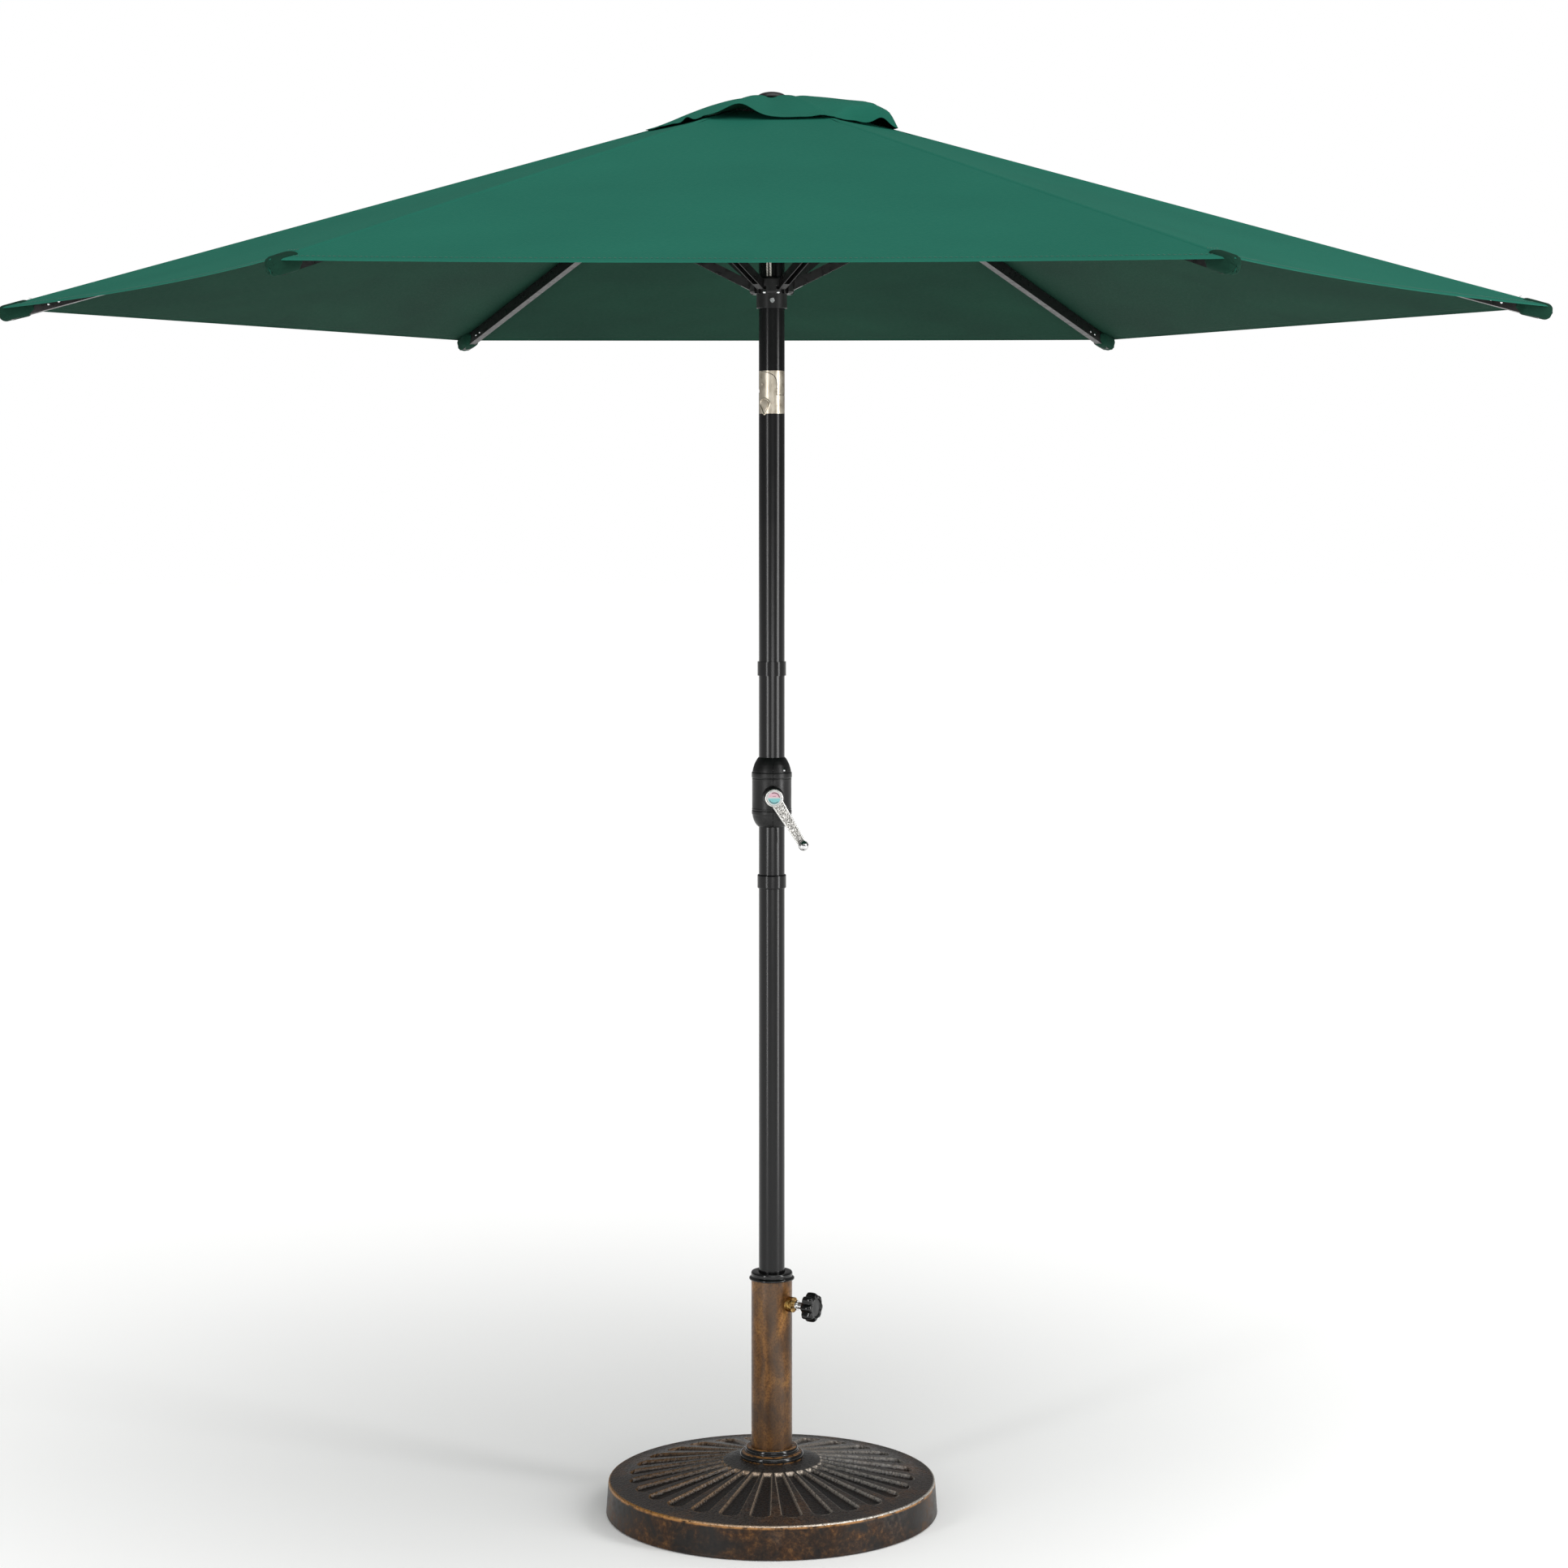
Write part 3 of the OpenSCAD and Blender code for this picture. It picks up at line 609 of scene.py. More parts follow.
def smooth_step(x, low, high):
    t = np.clip((np.asarray(x, float) - low) / (high - low), 0, 1)
    return t * t * (3 - 2 * t)


def curve_at(points, x):
    """A smooth curve through (x, y) points, at x."""
    xs, ys = np.array(points, float).T
    slopes = np.gradient(ys, xs)
    i = np.clip(np.searchsorted(xs, x) - 1, 0, len(xs) - 2)
    w = xs[i + 1] - xs[i]
    t = (x - xs[i]) / w
    return ((2 * t**3 - 3 * t**2 + 1) * ys[i] + (t**3 - 2 * t**2 + t) * w * slopes[i]
            + (3 * t**2 - 2 * t**3) * ys[i + 1] + (t**3 - t**2) * w * slopes[i + 1])


# ---------------------------------------------------------------- camera, light and floor

def make_camera():
    data = bpy.data.cameras.new("camera")
    data.lens, data.sensor_width, data.shift_y = 78.26, 36, -0.178
    cam = bpy.data.objects.new("camera", data)
    bpy.context.scene.collection.objects.link(cam)
    cam.location = (0.018, -5.018, 1.480)
    cam.rotation_euler = (math.pi / 2, 0, 0)
    bpy.context.scene.camera = cam


def area_light(name, place, aim, size, power, tint="#ffffff"):
    data = bpy.data.lights.new(name, "AREA")
    data.shape, data.size, data.size_y, data.energy = "RECTANGLE", size[0], size[1], power
    data.color = colour(tint)[:3]
    lamp = bpy.data.objects.new(name, data)
    lamp.location = place
    lamp.rotation_euler = (Vector(aim) - Vector(place)).to_track_quat("-Z", "Y").to_euler()
    bpy.context.scene.collection.objects.link(lamp)


def make_studio():
    """Even light from a wide overhead panel, two tall strips for the mast, and a low panel for the base."""
    overhead = bpy.data.lights.new("overhead", "SUN")
    overhead.energy, overhead.angle = 2.5, math.radians(75)
    lamp = bpy.data.objects.new("overhead", overhead)
    lamp.rotation_euler = (math.radians(14), math.radians(10), 0)
    bpy.context.scene.collection.objects.link(lamp)
    area_light("left_strip", (-2.2, -2.6, 1.2), (0, 0, 1.1), (0.36, 2.6), 34)
    area_light("right_strip", (2.4, -1.4, 1.3), (0, 0, 1.1), (0.5, 2.6), 42)
    area_light("low_front", (0.6, -4.2, 0.9), (0, 0, 0.3), (1.6, 0.6), 16)
    world = bpy.data.worlds.new("studio")
    world.use_nodes = True
    t = world.node_tree
    back = t.nodes["Background"]
    rays = add(t, "ShaderNodeLightPath").outputs
    shining = span(t, rays["Is Glossy Ray"], 0, 1, 0.34, 0.2)
    t.links.new(maths(t, "MAXIMUM", rays["Is Camera Ray"], shining), back.inputs["Strength"])
    back.inputs["Color"].default_value = (1, 1, 1, 1)
    bpy.context.scene.world = world


def make_floor():
    m, t, s = new_material("pale_floor", Roughness=0.9)
    mottle = noise(t, 1.5, 2.0)
    feed(s, "Base Color", ramp(t, mottle, [(0.3, "#fbfbfa"), (0.7, "#fdfdfc")]))
    half = 60.0
    corners = [(-half, -half, 0), (half, -half, 0), (half, half, 0), (-half, half, 0)]
    mesh = bpy.data.meshes.new("floor")
    mesh.from_pydata(corners, [], [(0, 1, 2, 3)])
    mesh.materials.append(m)
    floor = bpy.data.objects.new("floor", mesh)
    floor.location.z = -0.0005
    bpy.context.scene.collection.objects.link(floor)
    bpy.context.scene.view_settings.view_transform = "Standard"


make_camera()
make_studio()
make_floor()


# ---------------------------------------------------------------- canopy

def plan_waves(x, y):
    """A few millimetres of slack in the cloth, the same on both sides of every seam."""
    return (0.9 * np.sin(9.1 * x + 4.3 * y + 0.7) + 0.7 * np.sin(-6.2 * x + 11.3 * y + 2.1)
            + 0.4 * np.sin(17.0 * x - 8.0 * y + 4.0)) * MM


def cloth_piece(name, grid, uv, body, replaces=(), thickness=FABRIC_T):
    """A thin two-faced sheet from a grid of points; the face is cloth and the back is the same cloth darkened
    with painted shade.
    """
    rows, cols = grid.shape[:2]
    normal = np.cross(np.gradient(grid, axis=0), np.gradient(grid, axis=1))
    length = np.linalg.norm(normal, axis=2, keepdims=True)
    normal = normal / np.maximum(length, 1e-12)
    if normal[..., 2].mean() < 0:
        normal = -normal
    back = grid - normal * thickness
    points = np.concatenate([grid.reshape(-1, 3), back.reshape(-1, 3)])
    face = strip_faces(rows, cols)
    a, b, c = (points[i] for i in face[len(face) // 2][:3])
    if np.cross(b - a, c - a)[2] < 0:
        face = [f[::-1] for f in face]
    n = rows * cols
    rear = [tuple(i + n for i in f[::-1]) for f in face]
    border = list(range(cols)) + [i * cols + cols - 1 for i in range(1, rows)]
    border += [(rows - 1) * cols + j for j in range(cols - 2, -1, -1)]
    border += [i * cols for i in range(rows - 2, -1, -1)]
    rims = [(i, j, j + n, i + n) for i, j in zip(border, border[1:])]
    indices = [0] * len(face) + [1] * len(rear) + [0] * len(rims)
    faces = face + rear + rims
    obj = piece(name, points, faces, [CLOTH, SHADED_BACK_CLOTH], body, replaces, indices)
    layer = obj.data.uv_layers.new(name="cloth")
    flat = np.concatenate([uv.reshape(-1, 2), uv.reshape(-1, 2)])
    loops = np.empty(len(obj.data.loops), int)
    obj.data.loops.foreach_get("vertex_index", loops)
    layer.data.foreach_set("uv", flat[loops].astype(np.float32).ravel())
    sharpen(obj, 60)
    return obj


SEAM_HALF = 5.5 * MM
HEM_W = 22 * MM
SAG = 10.5 * MM


def gore_point(k, side, t, q_length):
    """Point of the half gore beside rib k: t runs from vent to hem, q_length(width) gives the share across.

    Also gives the distance from the rib."""
    turn = rib_turn(k)
    middle = spoke(turn + side * HALF_GORE)
    rib_dir = spoke(turn)
    hem_mid = CANOPY_R * math.cos(HALF_GORE) - HEM_SCOOP
    a = rib_dir * (VENT_HOLE_R + (CANOPY_R - VENT_HOLE_R) * t)
    b = middle * (VENT_HOLE_R + (hem_mid - VENT_HOLE_R) * t)
    width = np.linalg.norm(b - a)
    q = q_length(width)
    p = a + (b - a) * q - middle * HEM_SCOOP * q * (1 - q) * t
    z = APEX_Z - GORE_K * float(p @ middle)
    sag = SAG * math.sin(math.pi * 0.62 * t) * (2 * q - q * q)
    z += float(plan_waves(p[0], p[1])) * min(1, 6 * q) * math.sin(math.pi * t) ** 0.5 - sag
    return np.array([p[0], p[1], z]), q * width


def folds_with(obj):
    """Gives a piece of cloth its own copy of its mesh; nothing here flattens it as the canopy closes."""
    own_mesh(obj)


def seam_raise(distance):
    """Height of the felled seam over the rib."""
    return 0.9 * MM * float(1 - smooth_step(distance, SEAM_HALF - 0.3 * MM, SEAM_HALF + 0.5 * MM))


def hem_raise(from_edge):
    """Height of the turned hem, with a shallow groove where it is stitched."""
    fold = 0.8 * MM * float(1 - smooth_step(from_edge, HEM_W - 0.3 * MM, HEM_W + 0.5 * MM))
    groove = 0.5 * MM * math.exp(-((from_edge - (HEM_W - 3 * MM)) / (0.9 * MM)) ** 2)
    return fold - groove


def canopy_sector(k):
    length = CANOPY_R - VENT_HOLE_R
    fixed = [0.0, SEAM_HALF - 0.8 * MM, SEAM_HALF, SEAM_HALF + 0.8 * MM, SEAM_HALF + 2.5 * MM]
    spread = [0.06, 0.12, 0.2, 0.3, 0.4, 0.5, 0.6, 0.7, 0.8, 0.9, 0.96, 1.0]
    shares = [lambda w, d=d: min(d, 0.05 * w + d * 0.2) / w for d in fixed]
    shares += [lambda w, s=s: s for s in spread]
    near_hem = [HEM_W + 3 * MM, HEM_W + 0.6 * MM, HEM_W, HEM_W - 0.6 * MM, HEM_W - 2 * MM, HEM_W - 3 * MM,
                HEM_W - 4 * MM, HEM_W * 0.5, 4 * MM, 1.5 * MM, 0.0]
    rows = list(np.linspace(0, 1 - (HEM_W + 10 * MM) / length, 34)) + [1 - d / length for d in near_hem]
    columns = [(-1, s) for s in reversed(shares[1:])] + [(1, s) for s in shares]
    grid = np.zeros((len(rows), len(columns), 3))
    uv = np.zeros((len(rows), len(columns), 2))
    for i, t in enumerate(rows):
        for j, (side, share) in enumerate(columns):
            p, across = gore_point(k, side, t, share)
            from_edge = (1 - t) * length
            lift = max(seam_raise(across), hem_raise(from_edge))
            turned_down = -1.2 * MM * float(1 - smooth_step(from_edge, 0, 3 * MM))
            grid[i, j] = p + upward(lift + turned_down)
            uv[i, j] = (side * across, t * length)
    obj = cloth_piece(f"canopy_cover_{k}", grid, uv, f"rib_{k}", (f"canopy_{k}",))
    folds_with(obj)


def stitches(name, line, lift, body, length=3.2 * MM, gap=1.4 * MM, r=0.28 * MM):
    """A row of lock stitches along a line of points."""
    line = np.array(line)
    step = np.linalg.norm(np.diff(line, axis=0), axis=1)
    at = np.concatenate([[0], np.cumsum(step)])
    points, faces = [], []

    def place(s):
        return np.array([np.interp(s, at, line[:, i]) for i in range(3)])

    s = gap
    while s + length < at[-1]:
        a, b = place(s), place(s + length)
        forward = (b - a) / np.linalg.norm(b - a)
        side = np.cross(forward, (0, 0, 1))
        side /= np.linalg.norm(side)
        up = np.cross(side, forward)
        n = len(points)
        for p, w in ((a, 0.4), ((a * 2 + b) / 3, 1), ((a + b * 2) / 3, 1), (b, 0.4)):
            mid = p + up * lift * (1 if w == 1 else 0.3)
            points += [mid + (side * x + up * y) * r * w for x, y in ((1, 0), (0, 1), (-1, 0), (0, -1))]
        faces += strip_faces(4, 4, closed=True, start=n)
        faces += [(n + 3, n + 2, n + 1, n), (n + 12, n + 13, n + 14, n + 15)]
        s += length + gap
    return piece(name, points, faces, THREADS, body)


def hem_stitches(k):
    """The stitch line of the hem over one rib, both ways to the middle of the gores."""
    t = 1 - (HEM_W - 3 * MM) / (CANOPY_R - VENT_HOLE_R)
    line = []
    for side, shares in ((-1, np.linspace(1, 0.03, 30)), (1, np.linspace(0.03, 1, 30))):
        for q in shares:
            line.append(gore_point(k, side, t, lambda w, q=q: q)[0] + upward(0.5 * MM))
    obj = stitches(f"hem_stitches_{k}", line, 0.25 * MM, f"rib_{k}", 4.5 * MM, 1.8 * MM, 0.4 * MM)
    folds_with(obj)


def corner_pocket(k):
    """The sewn sleeve that a rib's tip sits in: padded round the tube, with a rounded, gathered outer end."""
    out_dir, side_dir, up_dir = rib_directions(k)
    tip = spoke(rib_turn(k)) * CANOPY_R + upward(APEX_Z - CANOPY_DROP)
    long, back = 54 * MM, 51 * MM
    plump = (1.0, 0.86, 1.0, 0.8, 0.92, 0.88)[k - 1]
    rows, cols = 22, 41
    grid = np.zeros((rows, cols, 3))
    uv = np.zeros((rows, cols, 2))
    for i in range(rows):
        s = i / (rows - 1)
        close = math.sqrt(max(0.0, 1 - max(0.0, (s - 0.8) / 0.2) ** 2))
        close *= 0.55 + 0.45 * float(smooth_step(s, 0, 0.25))
        wide = (11.0 + 2.0 * plump * math.sin(math.pi * min(1, s * 1.15))) * MM * max(close, 0.04)
        top = (0.7 + 1.0 * plump * math.sin(math.pi * (0.1 + 0.8 * s))) * MM
        low = -(22.6 - 2.0 * s) * MM
        mid, half = (top + low) / 2, (top - low) / 2 * max(close, 0.04)
        gather = 0.5 * MM * smooth_step(s, 0.6, 0.95)
        for j in range(cols):
            a = -math.pi / 2 + 2 * math.pi * j / (cols - 1)
            c, d = math.cos(a), math.sin(a)
            x = math.copysign(abs(c) ** 0.62, c) * (wide + gather * math.sin(11 * a))
            y = math.copysign(abs(d) ** 0.62, d) * (half + gather * math.sin(11 * a)) + mid
            grid[i, j] = tip - out_dir * (back - long * s) + side_dir * x + up_dir * y
            uv[i, j] = (a * 17 * MM, s * long)
    obj = cloth_piece(f"corner_pocket_{k}", grid, uv, f"rib_{k}", thickness=0.9 * MM)
    start = tip - out_dir * (back - 3 * MM)
    edge = [start + side_dir * x * 11 * MM + up_dir * 1.9 * MM for x in np.linspace(-1, 1, 8)]
    stitches(f"pocket_stitches_{k}", edge, 0.3 * MM, f"rib_{k}", r=0.35 * MM)


# Height of the vent cap from its middle to its hem, where it lies down and where it stands up stiffly
VENT_LYING = [(0, 2077.3), (0.1, 2077.5), (0.16, 2078.8), (0.25, 2077.6), (0.46, 2068.5), (0.65, 2056.0),
              (0.82, 2043.0), (1.0, 2030.5)]
VENT_STANDING = [(0, 2077.3), (0.1, 2077.5), (0.16, 2079.2), (0.23, 2081.3), (0.35, 2080.0), (0.57, 2075.6),
                 (0.75, 2070.4), (0.87, 2063.0), (0.94, 2053.5), (1.0, 2032.0)]
# Where the vent's hem stands up: azimuth, height in millimetres and half width, in degrees
VENT_LIFTS = [(-106, 20, 10), (-66, 4, 4), (-137, 6, 5), (-16, 13, 9), (95, 11, 12), (158, 9, 11)]


def vent_point(turn, share):
    """Point of the vent cap at an azimuth, a share of the way to its hem."""
    off = (turn - RIB_TURN + HALF_GORE) % SIXTH - HALF_GORE
    reach = VENT_R * math.cos(HALF_GORE) / math.cos(HALF_GORE - abs(off))
    r = share * reach
    lift = 0.0
    for at, height, width in VENT_LIFTS:
        d = (math.degrees(turn) - at + 180) % 360 - 180
        lift += height * math.exp(-(d / width) ** 2)
    rest = APEX_Z - GORE_K * r * math.cos(HALF_GORE - abs(off)) + 2.2 * MM
    aside = abs((math.degrees(turn) + 184) % 360 - 180)
    stiff = 1 - float(smooth_step(aside, 28, 62))
    flat = (1 - stiff) * float(curve_at(VENT_LYING, share)) + stiff * float(curve_at(VENT_STANDING, share))
    hollow = 5 * MM * math.sin(math.pi * share) * (1 - math.cos(off * 6)) / 2
    z = max(flat * MM - hollow, rest) + lift * MM * share ** 5
    ripple = 0.5 * MM * math.sin(9 * turn + 1.3) * share ** 2 + 0.3 * MM * math.sin(23 * turn) * share ** 4
    return spoke(turn) * r + upward(z + ripple)


def vent_sector(k, inner, outer, rows):
    """The grid and flat places of one sixth of the vent cap, between two shares of the way to its hem."""
    turn = rib_turn(k)
    cols = 33
    grid = np.zeros((rows, cols, 3))
    uv = np.zeros((rows, cols, 2))
    for i in range(rows):
        share = inner + (outer - inner) * i / (rows - 1)
        for j in range(cols):
            a = HALF_GORE * (2 * j / (cols - 1) - 1)
            p = vent_point(turn + a, share)
            across = float(p @ spoke(turn + math.pi / 2))
            seam = seam_raise(abs(across)) if share > 0.12 else 0
            edge = hem_raise((1 - share) * 170 * MM) if outer > 0.99 else 0
            grid[i, j] = p + upward(max(seam, edge))
            uv[i, j] = (across, share * VENT_R)
    return grid, uv


CROWN_SHARE = 0.42     # the crown's reach, as a share of the way to the vent's hem


def vent_cap(k):
    """One sixth of the vent: a crown that stays on the hub and a flap that goes down with the rib."""
    grid, uv = vent_sector(k, 0.02, CROWN_SHARE, 16)
    crown = cloth_piece(f"vent_crown_{k}", grid, uv, "mast_upper")
    grid, uv = vent_sector(k, CROWN_SHARE, 1.0, 26)
    flap = cloth_piece(f"vent_flap_{k}", grid, uv, f"rib_{k}")
    folds_with(flap)
    return crown


for k in RIBS:
    canopy_sector(k)
    hem_stitches(k)
    corner_pocket(k)
crowns = [vent_cap(k) for k in RIBS]
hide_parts("vent_canopy")


# ---------------------------------------------------------------- base

FLUTES = 28
FLUTE_PHASE = math.radians(-94.5)
FLUTE_IN, FLUTE_OUT = 74 * MM, 207 * MM
FLUTE_DEPTH = 5 * MM
DRAFT = 2.2 * MM


def flute_half_width(r):
    """Half width of a flute at its foot, with a square inner end and a rounded outer end."""
    full = 4.3 * MM + (13.2 - 4.3) * MM * (r - FLUTE_IN) / (FLUTE_OUT - FLUTE_IN)
    corner = 8 * MM
    if r > FLUTE_OUT - corner:
        full -= corner - math.sqrt(max(0, corner ** 2 - (r - FLUTE_OUT + corner) ** 2))
    return max(full, 0.3 * MM)


HUB_RISE = 31 * MM      # the top climbs this much from its outer band to the stem


def top_rise(r):
    """How far the casting's top stands above its outer band at a distance from the stem."""
    return HUB_RISE * float(np.clip((228 * MM - r) / (178 * MM), 0, 1))


TOP_R = 240 * MM
TOP_EDGE = 2.2 * MM     # rounding between the casting's top and its side


def base_casting():
    """The casting's fluted top."""
    radii = [30 * MM, 45 * MM, 60 * MM]
    radii += [FLUTE_IN - DRAFT - 1 * MM, FLUTE_IN - DRAFT, FLUTE_IN - DRAFT / 2, FLUTE_IN]
    radii += list(np.linspace(FLUTE_IN + 3 * MM, FLUTE_OUT - 9 * MM, 30))
    radii += [FLUTE_OUT - 8 * MM + 8 * MM * math.sin(math.pi / 2 * i / 7) for i in range(8)]
    radii += [FLUTE_OUT + DRAFT / 2, FLUTE_OUT + DRAFT, FLUTE_OUT + DRAFT + 2 * MM, 225 * MM]
    radii += [TOP_R - TOP_EDGE - 1 * MM]
    radii += [TOP_R - TOP_EDGE + TOP_EDGE * math.sin(math.pi / 2 * i / 4) for i in range(5)]
    half = math.pi / FLUTES
    points, flute_floor_shade, worn, outer = [], [], [], []
    for r in radii:
        width = flute_half_width(min(max(r, FLUTE_IN), FLUTE_OUT))
        foot = width / r
        lip = (width + DRAFT) / r
        past_end = smooth_step(r, FLUTE_OUT, FLUTE_OUT + DRAFT)
        inside = float(smooth_step(r, FLUTE_IN - DRAFT, FLUTE_IN) * (1 - past_end))
        land = lip + 0.7 * MM / r
        run = [foot * share for share in (0.0, 0.35, 0.7)] + [foot, (foot + lip) / 2, lip, land]
        run += [land + (half - land) * share for share in (0.45, 0.75, 1.0)]
        both = [-a for a in reversed(run[1:-1])] + run
        for f in range(FLUTES):
            centre = FLUTE_PHASE + f * 2 * half
            for a in both:
                d = abs(a) * r
                deep = inside * float(1 - smooth_step(d, width, width + DRAFT))
                z = BASE_H + top_rise(r) - FLUTE_DEPTH * deep
                past_edge = max(0, r - (TOP_R - TOP_EDGE))
                if past_edge:
                    z -= TOP_EDGE - math.sqrt(max(0, TOP_EDGE ** 2 - past_edge ** 2))
                points.append((r * math.cos(centre + a), r * math.sin(centre + a), z))
                # Painted shade mask: how far down in a flute a point lies.
                flute_floor_shade.append(deep)
                outer.append(smooth_step(r, 0.09, 0.2))
                # Painted glint: lips of flutes facing front and back are brighter than those at the sides.
                painted_glint_by_azimuth = 0.35 + 0.65 * abs(math.sin(centre + a)) ** 2
                lip_wear_and_glint = painted_glint_by_azimuth * math.exp(-((d - width - DRAFT * 0.8) / (0.6 * MM)) ** 2) * inside
                in_flute = float(d < width + DRAFT)
                end_lip = math.exp(-((r - FLUTE_OUT - DRAFT * 0.7) / (1.0 * MM)) ** 2) * in_flute
                start_lip = math.exp(-((r - FLUTE_IN + DRAFT * 0.6) / (1.0 * MM)) ** 2) * in_flute
                rim_wear = float(smooth_step(r, TOP_R - 3.2 * MM, TOP_R - 0.8 * MM))
                # Edge mark: on the rim it is worn paint; on the flute lips and ends it mixes wear with
                # painted glints.
                worn.append(max(lip_wear_and_glint * 0.9, end_lip * 0.35, start_lip * 0.9, rim_wear * 0.9))
    faces = strip_faces(len(radii), len(points) // len(radii), closed=True)
    obj = piece("base_casting", points, faces, RESIN, "base", ("base_disc",))
    # The floor attribute carries the painted shade of the flutes; the edge attribute carries wear and painted
    # glints.
    point_values(obj, "floor", flute_floor_shade)
    point_values(obj, "edge", worn)
    point_values(obj, "outer", outer)
    sharpen(obj, 70)


def base_rim():
    """The casting's side and its flat underside."""
    foot_r = BASE_R / MM
    side = [(TOP_R / MM, (BASE_H - TOP_EDGE) / MM), (TOP_R / MM + 0.4, BASE_H / MM - 5), (foot_r - 0.4, 4),
            (foot_r, 2.2), (foot_r - 1.6, 0.3), (foot_r - 6, 0), (20, 0)]
    segments = 224
    outline = round_corners([(r * MM, z * MM) for r, z in side], 1.2 * MM)
    ring = [(r * math.cos(a), r * math.sin(a), z) for r, z in outline for a in round_angles(segments)]
    rim = piece("base_rim", ring, strip_faces(len(outline), segments, closed=True), RIM, "base")
    heights = np.repeat([z for _, z in outline], segments)
    point_values(rim, "edge", smooth_step(heights, BASE_H - 6 * MM, BASE_H - 3 * MM))
    sharpen(rim, 60)


base_casting()
base_rim()

turned("stem_foot_cover",
       [(r, z + HUB_RISE / MM) for r, z in
        [(30.2, 65.5), (33, 66), (37.5, 65.5), (39, 62), (38.6, 58.8), (40.5, 57.6), (44.5, 57.3), (47, 54),
         (46.8, 50.5), (45.6, 44.0)]],
       ABS, "base", ("stem_trim",), radius=2.2 * MM,
       edge=[z + HUB_RISE / MM for z in (57.5, 65.6, 49.5)])
turned("stem_upper_end", [(30, 331), (30, 341)], STEM, "base", radius=0.1 * MM)
turned("stem_top_ring",
       [(30.0, 340.6), (33.2, 341.2), (33.5, 343.4), (31.4, 345.4), (30.2, 346.0), (30.6, 347.6),
        (30.6, 350.6), (29.4, 352.6), (23, 353.0), (19.6, 352.4), (19.4, 350), (19.4, 330)],
       ABS, "base", ("stem_cap",), radius=0.8 * MM, edge=(341.0,))
paint(STEM, "base_stem")
paint(BRASS, "clamp_nut", bevel=1.5 * MM)
paint(ZINC, "base_bolts", "housing_screws", "hub_pins", "tilt_spring", "crank_axle", "runner_screw")
paint(CHROME, "clamp_stud", "crank_ball")
paint(MAST, "lower_pole", "middle_pole", "upper_pole")
paint(NYLON, "top_hub", "runner", "runner_liner", "pulley", "crank_spool", bevel=0.6 * MM)
paint(ENAMEL, *[f"rib_{k}" for k in RIBS], *[f"strut_{k}" for k in RIBS], bevel=1.0 * MM)
paint(NYLON, *[f"strut_clip_{k}" for k in RIBS], "finial")
paint(NICKEL, "tilt_lower", "tilt_upper", "tilt_button", "tilt_pin", bevel=0.5 * MM)
paint(MAST, "lower_collar", "upper_collar", bevel=0.3 * MM)
paint(CORD, "lift_cord_lower")


# ---------------------------------------------------------------- clamp knob, crank and small fittings

KNOB_AZIMUTH, KNOB_Z = -31, 307 * MM
CRANK_AZIMUTH, CRANK_Z = -86, 1053 * MM
BUTTON_AZIMUTH, BUTTON_HEIGHT = -124.3, 1628     # degrees, and millimetres up the mast


def around(azimuth, height, out):
    """Origin and directions (across, up, out) of a fitting on the mast's side at an azimuth in degrees."""
    a = math.radians(azimuth)
    outward = spoke(a)
    return outward * out + upward(height), spoke(a + math.pi / 2), upward(1.0), outward


def lobed_knob():
    """Moulded hand knob: eight rounded lobes round a body, with a recessed face."""
    centre, across, up, out = around(KNOB_AZIMUTH, KNOB_Z, 0)
    # radius, distance from the mast axis and share of the lobes, from the back to the middle of the face
    outline = [(6, 56.0, 0), (11, 56.2, 0), (12.5, 58.6, 0.2), (17.0, 59.6, 0.8), (18.9, 61.2, 1),
               (19.4, 63.5, 1), (19.5, 69.0, 1), (19.1, 73.0, 1), (17.6, 75.8, 0.85), (15.6, 77.2, 0.35),
               (14.2, 77.4, 0.0), (13.2, 76.6, 0), (12.6, 75.2, 0), (11.0, 74.8, 0), (6, 75.3, 0),
               (0.1, 75.5, 0)]
    segments = 160
    points = []
    for r, x, lobe in outline:
        for a in round_angles(segments):
            bulge = (0.5 + 0.5 * math.cos(8 * a + 0.7)) ** 0.6 * 4.4 - 2.6
            rr = (r + lobe * bulge) * MM
            points.append(centre + out * x * MM + across * rr * math.cos(a) + up * rr * math.sin(a))
    faces = strip_faces(len(outline), segments, closed=True)
    obj = piece("lobed_hand_knob", points, faces, ABS, "clamp_knob", ("clamp_knob",))
    sharpen(obj, 50)


